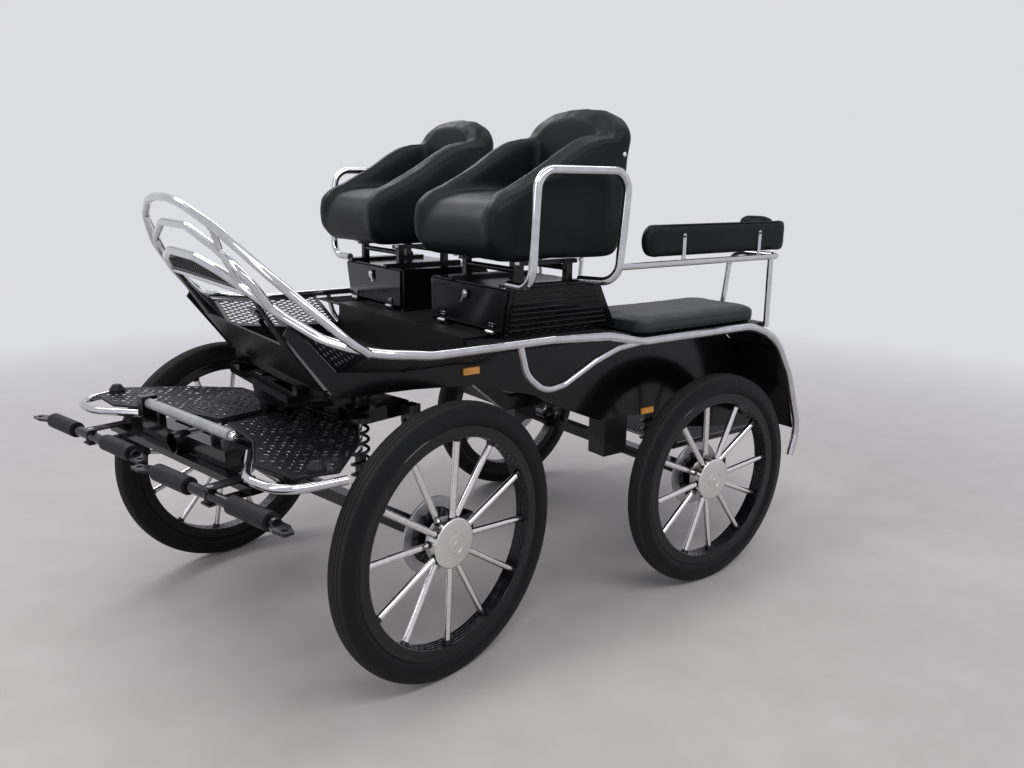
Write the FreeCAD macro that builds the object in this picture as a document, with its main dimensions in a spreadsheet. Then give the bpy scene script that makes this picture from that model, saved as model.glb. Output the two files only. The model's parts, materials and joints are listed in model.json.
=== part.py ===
"""Four-wheeled driving carriage: steel chassis on four spoked wheels, the front axle turning
under the body on a ring, two bucket seats over lockers, a bench each side at the back.

Built in millimetres with +X forward, +Y to the left and +Z up. Each piece is drawn about its
own reference point, and its Placement sets it in the carriage, whose datum is the ground under
the middle of the rear axle. The last step moves the datum to the middle of the floor outline.
"""
import FreeCAD, Part
import Sketcher
import math
import os
from types import SimpleNamespace
from FreeCAD import Placement, Rotation, Vector

doc = FreeCAD.newDocument("carriage")
dim = doc.addObject("Spreadsheet::Sheet", "dim")

# Driving sizes. Columns: alias, value in millimetres or degrees, what it measures.
SIZES = [
    ("wheelbase", 1300, "rear axle to kingpin"),
    ("track", 1330, "between the middles of a pair of tyres"),
    ("front_wheel_r", 440, "front tyre, outside radius"),
    ("rear_wheel_r", 410, "rear tyre, outside radius"),
    ("tyre_width", 78, "across the tyre"),
    ("tyre_depth", 75, "tread to bead seat"),
    ("tread_width", 58, "across the tread"),
    ("bead_rise", 20, "widest part of the tyre above the bead seat"),
    ("rim_depth", 33, "bead seat to the rim's inner face"),
    ("rim_width", 58, "across the rim"),
    ("rim_lip", 26, "lip of the rim's well off its middle"),
    ("spoke_r", 11, "radius of a spoke tube"),
    ("spoke_lean", 22, "offset of a spoke's foot along the hub"),
    ("spoke_count", 12, "spokes in a wheel"),
    ("spindle_r", 20, "axle spindle"),
    ("bearing_gap", 0.05, "spindle to hub bore, radial"),
    ("hub_r", 60, "drum that holds the spokes"),
    ("hub_cap_r", 80, "polished front plate of the hub"),
    ("hub_cap_face", 30, "tyre middle to the cap's face"),
    ("hub_back", 95, "tyre middle to the hub's inboard end"),
    ("disc_r", 125, "brake disc"),
    ("disc_thick", 8, "brake disc"),
    ("disc_offset", 76, "tyre middle to the disc's middle"),
    ("brake_gap", 6, "disc to calliper"),
    ("beam_size", 45, "square axle beam"),
    ("beam_gap", 15, "beam end to hub"),
    ("steer_rest", 11.87, "front axle turned to the left"),
    ("ring_r", 210, "turntable ring, outside radius"),
    ("ring_width", 36, "turntable ring, radially"),
    ("ring_thick", 14, "each turntable ring"),
    ("ring_drop", 32, "joint between the rings below the chassis"),
    ("ring_gap", 1, "grease gap between the rings"),
    ("kingpin_r", 22, "kingpin"),
    ("kingpin_rise", 14, "top of the kingpin above the chassis underside"),
    ("fore_tube_z", 730, "middle of the fore-carriage tubes"),
    ("fore_tube_y", 170, "fore-carriage side tubes off centre"),
    ("fore_tube_size", 50, "square tubes of the fore-carriage"),
    ("fore_back", 250, "fore-carriage frame behind the kingpin"),
    ("fore_front", 500, "fore-carriage frame ahead of the kingpin"),
    ("step_rise", 10, "front step plates above the fore-carriage tubes"),
    ("plate_thick", 4, "step plates and mesh panels"),
    ("bumper_r", 13, "tube round each front step plate"),
    ("tree_drop", 40, "swingletrees below the fore-carriage tubes"),
    ("tree_x", 617, "swingletrees ahead of the kingpin"),
    ("bar_back", 106, "splinter bar behind the swingletrees"),
    ("bar_half", 11, "splinter bar, half its depth"),
    ("tree_y", 385, "swingletree pivots off centre"),
    ("tree_length", 600, "swingletree between its hook plates"),
    ("tree_r", 16, "swingletree bar"),
    ("tree_rest", 2.6, "swingletrees turned at rest"),
    ("hook_length", 86, "trace hook plate beyond the swingletree"),
    ("hook_hole_r", 9, "eye in a trace hook plate"),
    ("sleeve_r", 26, "rubber sleeve on a swingletree"),
    ("sleeve_start", 105, "rubber sleeve from the pivot"),
    ("sleeve_length", 170, "rubber sleeve on a swingletree"),
    ("pivot_r", 9, "swingletree bolt"),
    ("pole_bore_r", 30, "pole socket, inside"),
    ("pole_wall", 5, "pole socket wall"),
    ("pole_depth", 160, "pole socket depth"),
    ("roller_x", 477, "cross roller ahead of the kingpin"),
    ("roller_rise", 70, "cross roller above the fore-carriage tubes"),
    ("roller_r", 17, "cross roller"),
    ("roller_length", 520, "cross roller"),
    ("rail_y", 700, "side rails off centre"),
    ("rail_r", 14, "side rails, arm loops"),
    ("rail_rise", 18, "side rails above the decks"),
    ("fender_drop", 46, "side rails over the rear wheels below those at the deck"),
    ("trim_r", 11, "curved trim tubes and rest rails"),
    ("bow_r", 12.5, "dash bows"),
    ("panel_y", 475, "side panels off centre, outside face"),
    ("panel_thick", 6, "body sheet"),
    ("floor_z", 900, "top of the footwell floor"),
    ("deck_rise", 122, "side decks above the footwell floor"),
    ("well_back", 990, "rear edge of the footwell floor"),
    ("well_front", 1440, "front edge of the footwell floor"),
    ("chassis_y", 270, "chassis side members off centre"),
    ("chassis_low", 700, "chassis side members, underside at the back"),
    ("chassis_tall", 50, "chassis side members, depth"),
    ("chassis_wide", 36, "chassis side members, width"),
    ("locker_front", 903, "front face of the lockers"),
    ("locker_back", 524, "back of the lockers at the top"),
    ("locker_back_low", 415, "back of the lockers at the bottom"),
    ("locker_in", 108, "inner side of a locker at the top"),
    ("locker_out", 582, "outer side of a locker at the top"),
    ("locker_in_low", 114, "inner side of a locker at the bottom"),
    ("locker_out_low", 545, "outer side of a locker at the bottom"),
    ("locker_lift", 6, "lockers above the side decks"),
    ("locker_tall", 159, "lockers, underside to top"),
    ("locker_wall", 8, "locker walls"),
    ("door_thick", 10, "locker flaps"),
    ("door_gap", 6, "gap round a locker flap"),
    ("hinge_r", 5, "locker flap hinge barrel"),
    ("seat_y", 390, "bucket seats off centre"),
    ("seat_width", 516, "bucket seat"),
    ("seat_back", 449, "back of the bucket seats at the shoulders"),
    ("seat_rake", 38, "back of the bucket seats further forward at the bottom"),
    ("seat_front", 985, "front lip of the bucket seats"),
    ("runner_tall", 82, "lockers to bucket seats"),
    ("seat_tall", 408, "shoulders of the bucket seats above the underside"),
    ("head_tall", 490, "top of the headrests above the underside"),
    ("bolster", 92, "seat bolsters, across"),
    ("back_thick", 96, "seat backrest"),
    ("arm_tall", 363, "arm loops above the lockers"),
    ("bench_in", 320, "inner edge of the rear benches"),
    ("bench_out", 676, "outer edge of the rear benches"),
    ("bench_back", -235, "rear edge of the rear benches"),
    ("bench_front", 410, "front edge of the rear benches"),
    ("cushion_thick", 57, "bench cushions"),
    ("rest_rise", 256, "rest rails above the side rails there"),
    ("rest_back", -290, "rear end of the rest rail"),
    ("rest_pad_height", 128, "rest pads"),
    ("rest_pad_thick", 38, "rest pads"),
    ("pad_corner", 42, "rounding of the rest pads' corners"),
    ("rest_pad_length", 750, "long rest pads"),
    ("platform_z", 450, "top of the rear platform"),
    ("platform_back", -840, "rear edge of the rear platform"),
    ("platform_front", -85, "front edge of the rear platform"),
    ("platform_half", 400, "rear platform off centre"),
    ("arm_tube_r", 20, "suspension arms"),
    ("spring_r", 36, "suspension spring columns"),
    ("soft_gap", 1, "cushion to what it rests on"),
]
for row, (alias, value, note) in enumerate(SIZES, start=1):
    dim.set(f"A{row}", alias)
    dim.set(f"B{row}", str(value))
    dim.setAlias(f"B{row}", alias)
    dim.set(f"C{row}", note)
doc.recompute()
d = SimpleNamespace(**{alias: float(dim.get(alias)) for alias, value, note in SIZES})

SIDES = (("left", 1), ("right", -1))
parts = []


# ---------------------------------------------------------------- ways of making a piece

def keep(piece, label, placement=None):
    """Name a finished piece, set it in the carriage and put it on the list to write."""
    piece.Label = label
    if placement is not None:
        piece.Placement = placement
    parts.append(piece)
    return piece


def solid(label, shape, placement=None):
    """A piece made with Part's own functions."""
    piece = doc.addObject("Part::Feature", label)
    piece.Shape = shape
    return keep(piece, label, placement)


def outline(body, role, corners):
    """Closed outline on one of the body's own planes. Each corner is a pair of expressions."""
    sketch = body.newObject("Sketcher::SketchObject", body.Name + "_outline")
    plane = [feature for feature in body.Origin.OriginFeatures if feature.Role == role][0]
    sketch.AttachmentSupport = (plane, [""])
    sketch.MapMode = "FlatFace"
    count = len(corners)
    at = [Vector(float(dim.evalExpression(across)), float(dim.evalExpression(up)), 0)
          for across, up in corners]
    for i in range(count):
        sketch.addGeometry(Part.LineSegment(at[i], at[(i + 1) % count]), False)
    for i in range(count):
        sketch.addConstraint(Sketcher.Constraint("Coincident", i, 2, (i + 1) % count, 1))
    for i, (across, up) in enumerate(corners):
        for kind, axis, text, place in (("DistanceX", -2, across, at[i].x),
                                        ("DistanceY", -1, up, at[i].y)):
            if abs(place) < 1e-9:
                sketch.addConstraint(Sketcher.Constraint("PointOnObject", i, 1, axis))
            else:
                index = sketch.addConstraint(Sketcher.Constraint(kind, -1, 1, i, 1, place))
                sketch.setExpression(f"Constraints[{index}]", text)
    return sketch


def turned(label, corners, placement):
    """A piece turned about its own Y axis, from an outline of (radius, along the axis)."""
    body = doc.addObject("PartDesign::Body", label)
    sketch = outline(body, "XY_Plane", corners)
    revolution = body.newObject("PartDesign::Revolution", label + "_turned")
    revolution.Profile = sketch
    revolution.ReferenceAxis = (sketch, ["V_Axis"])
    revolution.Angle = 360
    return keep(body, label, placement)


def padded_plate(name, role, corners, thickness, placement=None):
    """A plate cut to an outline and padded to a thickness about its plane."""
    body = doc.addObject("PartDesign::Body", name)
    sketch = outline(body, role, corners)
    pad = body.newObject("PartDesign::Pad", name + "_pad")
    pad.Profile = sketch
    pad.Length = float(dim.evalExpression(thickness))
    pad.setExpression("Length", thickness)
    pad.Midplane = True
    if placement is not None:
        body.Placement = placement
    return body


def block(x0, x1, y0, y1, z0, z1):
    low = Vector(min(x0, x1), min(y0, y1), min(z0, z1))
    return Part.makeBox(abs(x1 - x0), abs(y1 - y0), abs(z1 - z0), low)


def rod(start, end, radius):
    """Straight round bar between two points."""
    start = Vector(*start)
    end = Vector(*end)
    return Part.makeCylinder(radius, (end - start).Length, start, end - start)


def bent_path(points, bend):
    """Wire of straight runs that tangent arcs join."""
    at = [Vector(*point) for point in points]
    edges = []
    begin = at[0]
    for before, corner, after in zip(at, at[1:], at[2:]):
        back = (before - corner).normalize()
        ahead = (after - corner).normalize()
        half_turn = (math.pi - back.getAngle(ahead)) / 2
        room = 0.48 * min((before - corner).Length, (after - corner).Length)
        reach = min(bend * math.tan(half_turn), room)
        arc_r = reach / math.tan(half_turn)
        inward = (back + ahead).normalize()
        middle = corner + inward * (arc_r / math.cos(half_turn) - arc_r)
        first = corner + back * reach
        last = corner + ahead * reach
        if (first - begin).Length > 0.01:
            edges.append(Part.LineSegment(begin, first).toShape())
        edges.append(Part.Arc(first, middle, last).toShape())
        begin = last
    edges.append(Part.LineSegment(begin, at[-1]).toShape())
    return Part.Wire(edges)


def bent_tube(points, bend, radius):
    """Round tube bent along a path."""
    start = Vector(*points[0])
    section = Part.Wire([Part.makeCircle(radius, start, Vector(*points[1]) - start)])
    return bent_path(points, bend).makePipeShell([section], True, False)


def join(shapes):
    """One solid from shapes that touch, with split faces merged where that leaves it sound."""
    whole = shapes[0]
    for shape in shapes[1:]:
        whole = whole.fuse(shape)
    merged = whole.removeSplitter()
    return merged if merged.isValid() else whole


def mirrored(shape):
    """The same piece on the other side of the carriage."""
    return shape.mirror(Vector(0, 0, 0), Vector(0, 1, 0))


def pair(shape):
    """A left piece and its mirror image as two solids in one piece."""
    return Part.makeCompound([shape, mirrored(shape)])


def plate(points, thickness):
    """Flat plate under the polygon through its top corners, in order."""
    at = [Vector(*point) for point in points]
    face = Part.Face(Part.makePolygon(at + [at[0]]))
    normal = face.normalAt(0, 0)
    if normal.z > 0:
        normal = normal * -1
    return face.extrude(normal * thickness)


def rounded_face(points, bend):
    """Flat face whose outline has an arc at each corner."""
    at = [Vector(*point) for point in points]
    edges = []
    starts = []
    for before, corner, after in zip(at[-1:] + at[:-1], at, at[1:] + at[:1]):
        back = (before - corner).normalize()
        ahead = (after - corner).normalize()
        half_turn = (math.pi - back.getAngle(ahead)) / 2
        room = 0.46 * min((before - corner).Length, (after - corner).Length)
        reach = min(bend * math.tan(half_turn), room)
        arc_r = reach / math.tan(half_turn)
        inward = (back + ahead).normalize()
        middle = corner + inward * (arc_r / math.cos(half_turn) - arc_r)
        starts.append(corner + back * reach)
        edges.append(Part.Arc(starts[-1], middle, corner + ahead * reach).toShape())
    outline_edges = []
    for i, arc in enumerate(edges):
        outline_edges.append(arc)
        last = arc.Vertexes[-1].Point
        outline_edges.append(Part.LineSegment(last, starts[(i + 1) % len(starts)]).toShape())
    return Part.Face(Part.Wire(outline_edges))


def soft_sheet(points, y0, y1, bend, edge):
    """Padded sheet between two planes of Y: arcs at its outline's corners and round edges."""
    body = rounded_face([(x, y0, z) for x, z in points], bend).extrude(Vector(0, y1 - y0, 0))
    rim_edges = [one for one in body.Edges
                 if abs(one.BoundBox.YMax - one.BoundBox.YMin) < 0.01]
    return body.makeFillet(edge, rim_edges)


# ---------------------------------------------------------------- places used by many pieces

fore = Placement(Vector(d.wheelbase, 0, 0), Rotation(Vector(0, 0, 1), d.steer_rest))
half_track = d.track / 2
beam_half = half_track - d.hub_back - d.beam_gap

# Heights that follow from others.
chassis_high = d.floor_z - d.panel_thick - d.chassis_tall
ring_z = chassis_high - d.ring_drop
deck_z = d.floor_z + d.deck_rise
rail_z = deck_z + d.rail_rise
fender_z = rail_z - d.fender_drop
locker_bottom = deck_z + d.locker_lift
locker_top = locker_bottom + d.locker_tall
seat_under = locker_top + d.runner_tall
arm_top = locker_top + d.arm_tall
rest_z = fender_z + d.rest_rise
tube_half = d.fore_tube_size / 2
step_z = d.fore_tube_z + tube_half + d.step_rise
tree_z = d.fore_tube_z - d.tree_drop
roller_z = d.fore_tube_z + d.roller_rise

WHEELS = [
    # name, alias of the radius, side, where the axle is, how far the wheel has rolled in degrees
    ("front_left", "front_wheel_r", 1, fore, 4.3),
    ("front_right", "front_wheel_r", -1, fore, 11.1),
    ("rear_left", "rear_wheel_r", 1, Placement(), 23.9),
    ("rear_right", "rear_wheel_r", -1, Placement(), 0),
]

# ---------------------------------------------------------------- wheels

for name, radius_alias, side, axle, rolled in WHEELS:
    radius = getattr(d, radius_alias)
    out = f"dim.{radius_alias}"
    bead = f"{out} - dim.tyre_depth"
    inner = f"{bead} - dim.rim_depth"
    centre = Placement(Vector(0, side * half_track, radius),
                       Rotation(Vector(0, 0, 1), 0 if side > 0 else 180))
    place = axle.multiply(centre)

    # The tyre's foot tapers into the rim's well, and its sides lean in from there to the tread.
    well = f"{bead} - dim.rim_depth + 5"
    half = [
        (f"{bead} + dim.bead_rise", "dim.tyre_width / 2"),
        (out, "dim.tread_width / 2"),
    ]
    other = [(across, f"-({along})") for across, along in reversed(half)]
    turned(f"{name}_tyre", [(well, "0")] + half + other, place)

    lip_share = "(dim.rim_lip / dim.tyre_width * 2)"
    lip = f"{well} + (dim.bead_rise + dim.rim_depth - 5) * {lip_share}"
    half = [
        (lip, "dim.rim_lip"),
        (f"{bead} - dim.rim_depth / 2", "dim.rim_width / 2"),
        (f"{inner} + 5", "dim.rim_width / 2"),
        (inner, "dim.rim_width * 0.38"),
    ]
    other = [(across, f"-({along})") for across, along in reversed(half)]
    turned(f"{name}_rim", [(well, "0")] + half + other, place)

    bore = "dim.spindle_r + dim.bearing_gap"
    cap_plate = "dim.hub_cap_face - 8"
    hub = turned(f"{name}_hub", [
        (bore, "-dim.hub_back"),
        ("dim.spindle_r * 1.9", "-dim.hub_back"),
        ("dim.spindle_r * 1.9", "-(dim.disc_offset + dim.disc_thick / 2)"),
        ("dim.disc_r", "-(dim.disc_offset + dim.disc_thick / 2)"),
        ("dim.disc_r", "-(dim.disc_offset - dim.disc_thick / 2)"),
        ("dim.hub_r * 0.75", "-(dim.disc_offset - dim.disc_thick / 2)"),
        ("dim.hub_r * 0.75", "-(dim.spoke_lean + 14)"),
        ("dim.hub_r", "-(dim.spoke_lean + 14)"),
        ("dim.hub_r", f"{cap_plate} - 7"),
        ("dim.hub_cap_r", f"{cap_plate} - 7"),
        ("dim.hub_cap_r", cap_plate),
        ("dim.hub_cap_r * 0.6", cap_plate),
        ("dim.hub_cap_r * 0.6", "dim.hub_cap_face"),
        ("0", "dim.hub_cap_face"),
        ("0", "dim.hub_cap_face - 14"),
        (bore, "dim.hub_cap_face - 14"),
    ], place)

    rim_inner = radius - d.tyre_depth - d.rim_depth
    inside = Part.makeCylinder(rim_inner, 200, Vector(0, -100, 0), Vector(0, 1, 0))
    drum = Part.makeCylinder(d.hub_r, 200, Vector(0, -100, 0), Vector(0, 1, 0))
    spokes = []
    for i in range(int(d.spoke_count)):
        lean = d.spoke_lean if i % 2 else -d.spoke_lean
        foot = Vector(d.hub_r - 6, min(lean, d.hub_cap_face - 28), 0)
        head = Vector(rim_inner + 6, lean * 0.3, 0)
        spoke = rod(foot, head, d.spoke_r).common(inside).cut(drum)
        spoke.rotate(Vector(0, 0, 0), Vector(0, 1, 0), 360 / d.spoke_count * i - side * rolled)
        spokes.append(spoke)
    solid(f"{name}_spokes", Part.makeCompound(spokes), place)

# ---------------------------------------------------------------- axles, with spindles and callipers


def axle_shape(radius):
    """Square beam with a turned spindle at each end and a calliper over each disc."""
    b = d.beam_size / 2
    shapes = [block(-b, b, -beam_half, beam_half, radius - b, radius + b)]
    for side in (1, -1):
        tip = half_track + d.hub_cap_face - 16
        shapes.append(rod((0, side * (beam_half - 1), radius), (0, side * tip, radius), d.spindle_r))
        disc_y = half_track - d.disc_offset
        slot = d.disc_thick / 2 + d.brake_gap
        jaw = block(-d.disc_r - 22, -d.disc_r + 42, side * (disc_y - 34), side * (disc_y + 30),
                    radius - 42, radius + 42)
        slot_box = block(-d.disc_r - d.brake_gap, -d.disc_r + 60, side * (disc_y - slot),
                         side * (disc_y + slot), radius - 60, radius + 60)
        arm = block(-d.disc_r + 42, 0, side * (beam_half - 12), side * beam_half,
                    radius - 18, radius + 18)
        hold = block(-d.disc_r - 22, -d.disc_r + 42, side * (beam_half - 12),
                     side * (disc_y - 30), radius - 18, radius + 18)
        shapes.append(jaw.cut(slot_box))
        shapes.append(arm)
        shapes.append(hold)
    return join(shapes)


solid("front_axle", axle_shape(d.front_wheel_r), fore)
solid("rear_axle", axle_shape(d.rear_wheel_r))

# ---------------------------------------------------------------- fore-carriage

t = tube_half
z_tube = d.fore_tube_z
ring_bottom = ring_z - d.ring_thick - d.ring_gap / 2
front_beam_half = 260
frame = []
for side in (1, -1):
    y = side * d.fore_tube_y
    frame.append(block(-d.fore_back, d.fore_front, y - t, y + t, z_tube - t, z_tube + t))
for x, reach in ((-d.fore_back + t, d.fore_tube_y), (0, d.fore_tube_y),
                 (d.fore_front - t, front_beam_half)):
    frame.append(block(x - t, x + t, -reach, reach, z_tube - t, z_tube + t))
frame.append(block(-60, 60, -d.fore_tube_y, d.fore_tube_y, z_tube + t - 8, z_tube + t))
ring = Part.makeCylinder(d.ring_r, d.ring_thick, Vector(0, 0, ring_bottom))
ring = ring.cut(Part.makeCylinder(d.ring_r - d.ring_width, d.ring_thick, Vector(0, 0, ring_bottom)))
frame.append(ring)
for x, y in ((0, 1), (0, -1), (1, 0), (-1, 0)):
    mid = d.ring_r - d.ring_width / 2
    reach = d.fore_tube_y if y else 0
    x_at = x * mid
    y_at = y * reach
    frame.append(block(x_at - 20, x_at + 20, y_at - 20, y_at + 20, z_tube - t, ring_bottom + 1))
for x in (d.ring_r - d.ring_width / 2, -d.ring_r + d.ring_width / 2):
    frame.append(block(x - 20, x + 20, -d.fore_tube_y, d.fore_tube_y, z_tube - t, z_tube + t))
kingpin_top = chassis_high + d.kingpin_rise
frame.append(rod((0, 0, z_tube - t), (0, 0, kingpin_top), d.kingpin_r))
socket_front = d.fore_front + 30
socket_r = d.pole_bore_r + d.pole_wall
frame.append(rod((socket_front - d.pole_depth - d.pole_wall, 0, z_tube), (socket_front, 0, z_tube),
                 socket_r))
fore_frame = join(frame).cut(rod((socket_front - d.pole_depth, 0, z_tube),
                                 (socket_front + 1, 0, z_tube), d.pole_bore_r))
solid("fore_frame", fore_frame, fore)

# Front suspension: a trailing arm and a spring column each side, between axle and frame.
arms = []
for side in (1, -1):
    y = side * (d.fore_tube_y + t + d.spring_r + 2)
    axle_top = d.front_wheel_r + d.beam_size / 2
    column = rod((0, y, axle_top), (0, y, z_tube + t - 2), d.spring_r)
    bracket = block(-t, t, side * (d.fore_tube_y + t), y, z_tube - t, z_tube + t - 2)
    arm = bent_tube([(-d.beam_size / 2, y, d.front_wheel_r), (-d.fore_back + t, y, z_tube - t)],
                    10, d.arm_tube_r)
    lug = block(-d.fore_back, -d.fore_back + 2 * t, side * (d.fore_tube_y + t),
                y + side * d.arm_tube_r, z_tube - 2 * t, z_tube + t - 2)
    arms.append(join([column, bracket, arm, lug]).cut(
        block(-d.beam_size / 2, d.beam_size / 2, -beam_half, beam_half,
              d.front_wheel_r - d.beam_size / 2, axle_top)))
solid("front_suspension", Part.makeCompound(arms), fore)

# Front step plates, cut in a fan shape clear of the wheels. Columns: x ahead of the kingpin,
# y off centre.
STEP_OUTLINE = [(85, 26), (358, 26), (410, 260), (516, 440), (500, 615), (390, 655), (205, 500),
                (85, 345)]
steps = plate([(x, y, step_z) for x, y in STEP_OUTLINE], d.plate_thick)
stay_low = step_z - d.plate_thick - 20
stays = [block(240, 280, d.fore_tube_y + t, 450, stay_low, step_z - d.plate_thick),
         block(380, 410, d.fore_tube_y + t, 560, stay_low, step_z - d.plate_thick)]
solid("step_plates", pair(join([steps] + stays)), fore)

BUMPER_PATH = [(448, 288), (566, 470), (556, 628), (385, 668)]
bumper_z = step_z - d.plate_thick - d.bumper_r - 1
bumper = bent_tube([(x, y + d.bumper_r, bumper_z) for x, y in BUMPER_PATH], 70, d.bumper_r)
bumper = bumper.cut(join([steps] + stays))
solid("wheel_bumpers", pair(bumper), fore)

# Splinter bar across the front, with a bolt up through each swingletree.
bar_x = d.tree_x - d.bar_back
cross = block(bar_x - 20, bar_x + 20, -d.tree_y - 60, d.tree_y + 60, tree_z - d.bar_half,
              tree_z + d.bar_half)
cross = cross.cut(rod((0, 0, z_tube), (d.tree_x, 0, z_tube), socket_r))
bar_parts = [cross]
lug_gap = d.tree_r + 3
for side in (1, -1):
    y = side * d.tree_y
    for z in (tree_z + lug_gap, tree_z - lug_gap - 6):
        bar_parts.append(block(bar_x - 20, d.tree_x + 18, y - 22, y + 22, z, z + 6))
    bar_parts.append(block(bar_x - 20, bar_x + 8, y - 22, y + 22, tree_z - lug_gap - 6,
                           tree_z + lug_gap + 6))
    bar_parts.append(rod((d.tree_x, y, tree_z - lug_gap - 6), (d.tree_x, y, tree_z + lug_gap + 6),
                         d.pivot_r))
solid("splinter_bar", join(bar_parts), fore)

# Swingletrees: a bar with an eye on the bolt, rubber sleeves and a trace hook plate at each end.
# The hook plate's outline has columns: ahead of the bar, and along it as a share of its length.
HOOK_OUTLINE = [(-14, 0), (20, 0), (34, 0.45), (32, 1), (4, 1), (-14, 0.55)]
HOOK_EYE = (16, 0.74)
tree_half = d.tree_length / 2
for name, side in SIDES:
    at = fore.multiply(Placement(Vector(d.tree_x, side * d.tree_y, tree_z),
                                 Rotation(Vector(0, 0, 1), d.tree_rest)))
    eye = Part.makeCylinder(d.pivot_r + 9, 2 * d.tree_r, Vector(0, 0, -d.tree_r))
    bar_body = join([rod((0, -tree_half, 0), (0, tree_half, 0), d.tree_r), eye])
    bar_body = bar_body.cut(Part.makeCylinder(d.pivot_r + d.bearing_gap, 3 * d.tree_r,
                                              Vector(0, 0, -1.5 * d.tree_r)))
    hooks = []
    for end in (1, -1):
        root = tree_half - 12
        hook = plate([(x, end * (root + share * d.hook_length), d.plate_thick)
                      for x, share in HOOK_OUTLINE], 2 * d.plate_thick)
        eye_y = end * (root + HOOK_EYE[1] * d.hook_length)
        hooks.append(hook.cut(rod((HOOK_EYE[0], eye_y, -d.tree_r), (HOOK_EYE[0], eye_y, d.tree_r),
                                  d.hook_hole_r)))
    solid(f"swingletree_{name}", join([bar_body] + hooks), at)
    sleeves = []
    for end in (1, -1):
        first = end * d.sleeve_start
        last = end * (d.sleeve_start + d.sleeve_length)
        sleeve = rod((0, first, 0), (0, last, 0), d.sleeve_r)
        sleeves.append(sleeve.cut(rod((0, -tree_half, 0), (0, tree_half, 0), d.tree_r)))
    solid(f"tree_sleeves_{name}", Part.makeCompound(sleeves), at)

# Cross roller on two posts above the pole socket, with a square bracket round its right end,
# and a low rubber buffer at the front of each step plate.
roller_half = d.roller_length / 2
roller = rod((d.roller_x, -roller_half, roller_z), (d.roller_x, roller_half, roller_z),
             d.roller_r)
roller_end = block(d.roller_x - 26, d.roller_x + 26, -roller_half - 22, -roller_half + 14,
                   z_tube + t, roller_z + 24)
posts = []
for side in (1, -1):
    y = side * d.fore_tube_y
    posts.append(block(d.roller_x - 12, d.roller_x + 12, y - 8, y + 8, z_tube + t, roller_z))
solid("cross_roller", join([roller, roller_end] + posts), fore)
buffer_at = Vector(430, 608, step_z)
buffer_r = 26
buffer = Part.makeCylinder(buffer_r, 12, buffer_at).fuse(
    Part.makeCone(buffer_r, buffer_r * 0.55, 16, buffer_at + Vector(0, 0, 12)))
solid("rubber_buffers", pair(buffer.removeSplitter()), fore)

# ---------------------------------------------------------------- chassis

low = "dim.chassis_low"
tall = "dim.chassis_tall"
high_z = "(dim.floor_z - dim.panel_thick - dim.chassis_tall)"
member = padded_plate("chassis_member", "XZ_Plane", [
    ("-300", low), ("dim.bench_front + 290", low), ("dim.bench_front + 460", high_z),
    ("dim.wheelbase + dim.ring_r - 25", high_z),
    ("dim.wheelbase + dim.ring_r - 25", f"{high_z} + {tall}"),
    ("dim.bench_front + 440", f"{high_z} + {tall}"), ("dim.bench_front + 270", f"{low} + {tall}"),
    ("-300", f"{low} + {tall}"),
], "dim.chassis_wide")
doc.recompute()
high = chassis_high
side_member = member.Shape
chassis = []
for side in (1, -1):
    one = side_member.copy()
    one.translate(Vector(0, side * d.chassis_y, 0))
    chassis.append(one)
CROSS_MEMBERS = (-300, 190, 640)
for x in CROSS_MEMBERS:
    chassis.append(block(x, x + 40, -d.chassis_y, d.chassis_y, d.chassis_low,
                         d.chassis_low + d.chassis_tall - 6))
upper_ring = Part.makeCylinder(d.ring_r, d.ring_drop, Vector(0, 0, ring_z + d.ring_gap / 2))
upper_ring = upper_ring.cut(Part.makeCylinder(d.ring_r - d.ring_width, 100, Vector(0, 0, ring_z)))
boss = Part.makeCylinder(46, d.ring_drop + 20, Vector(0, 0, ring_z + d.ring_gap / 2))
upper = [upper_ring, boss,
         block(-40, 40, -d.chassis_y, d.chassis_y, high, high + 22),
         block(-d.ring_r, d.ring_r, -40, 40, high - 12, high + 22),
         block(-d.ring_r, -d.ring_r + d.ring_width, -d.chassis_y, d.chassis_y, high - 1, high + 22),
         block(d.ring_r - d.ring_width, d.ring_r, -d.chassis_y, d.chassis_y, high - 1, high + 22)]
table = join(upper)
table.translate(Vector(d.wheelbase, 0, 0))
pin_hole = rod((d.wheelbase, 0, ring_z - 5), (d.wheelbase, 0, kingpin_top + 3),
               d.kingpin_r + d.bearing_gap)
frame_solid = join(chassis + [table]).cut(pin_hole)
solid("chassis_frame", frame_solid)

# Rear suspension: a trailing arm and a spring column each side.
rear_arms = []
axle_top = d.rear_wheel_r + d.beam_size / 2
arm_x = 200
arm_z = d.rear_wheel_r + 85
for side in (1, -1):
    y = side * (d.chassis_y + d.chassis_wide / 2 + d.spring_r + 2)
    column = rod((0, y, axle_top), (0, y, d.chassis_low + 20), d.spring_r)
    seat = block(-30, 30, side * (d.chassis_y + d.chassis_wide / 2), y, d.chassis_low,
                 d.chassis_low + 30)
    arm = rod((d.beam_size / 2, y, d.rear_wheel_r), (arm_x, y, arm_z), d.arm_tube_r)
    lug = block(arm_x - 60, arm_x + 60, side * (d.chassis_y + d.chassis_wide / 2),
                y + side * d.arm_tube_r, arm_z - 40, d.chassis_low + 20)
    web = block(arm_x - 60, arm_x + 60, side * (d.chassis_y - d.chassis_wide / 2), y, arm_z - 40,
                d.chassis_low)
    rear_arms.append(join([column, seat, arm, lug, web]).cut(
        block(-d.beam_size / 2, d.beam_size / 2, -beam_half, beam_half,
              d.rear_wheel_r - d.beam_size / 2, axle_top)))
solid("rear_suspension", Part.makeCompound(rear_arms))

# ---------------------------------------------------------------- body sheet

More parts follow.
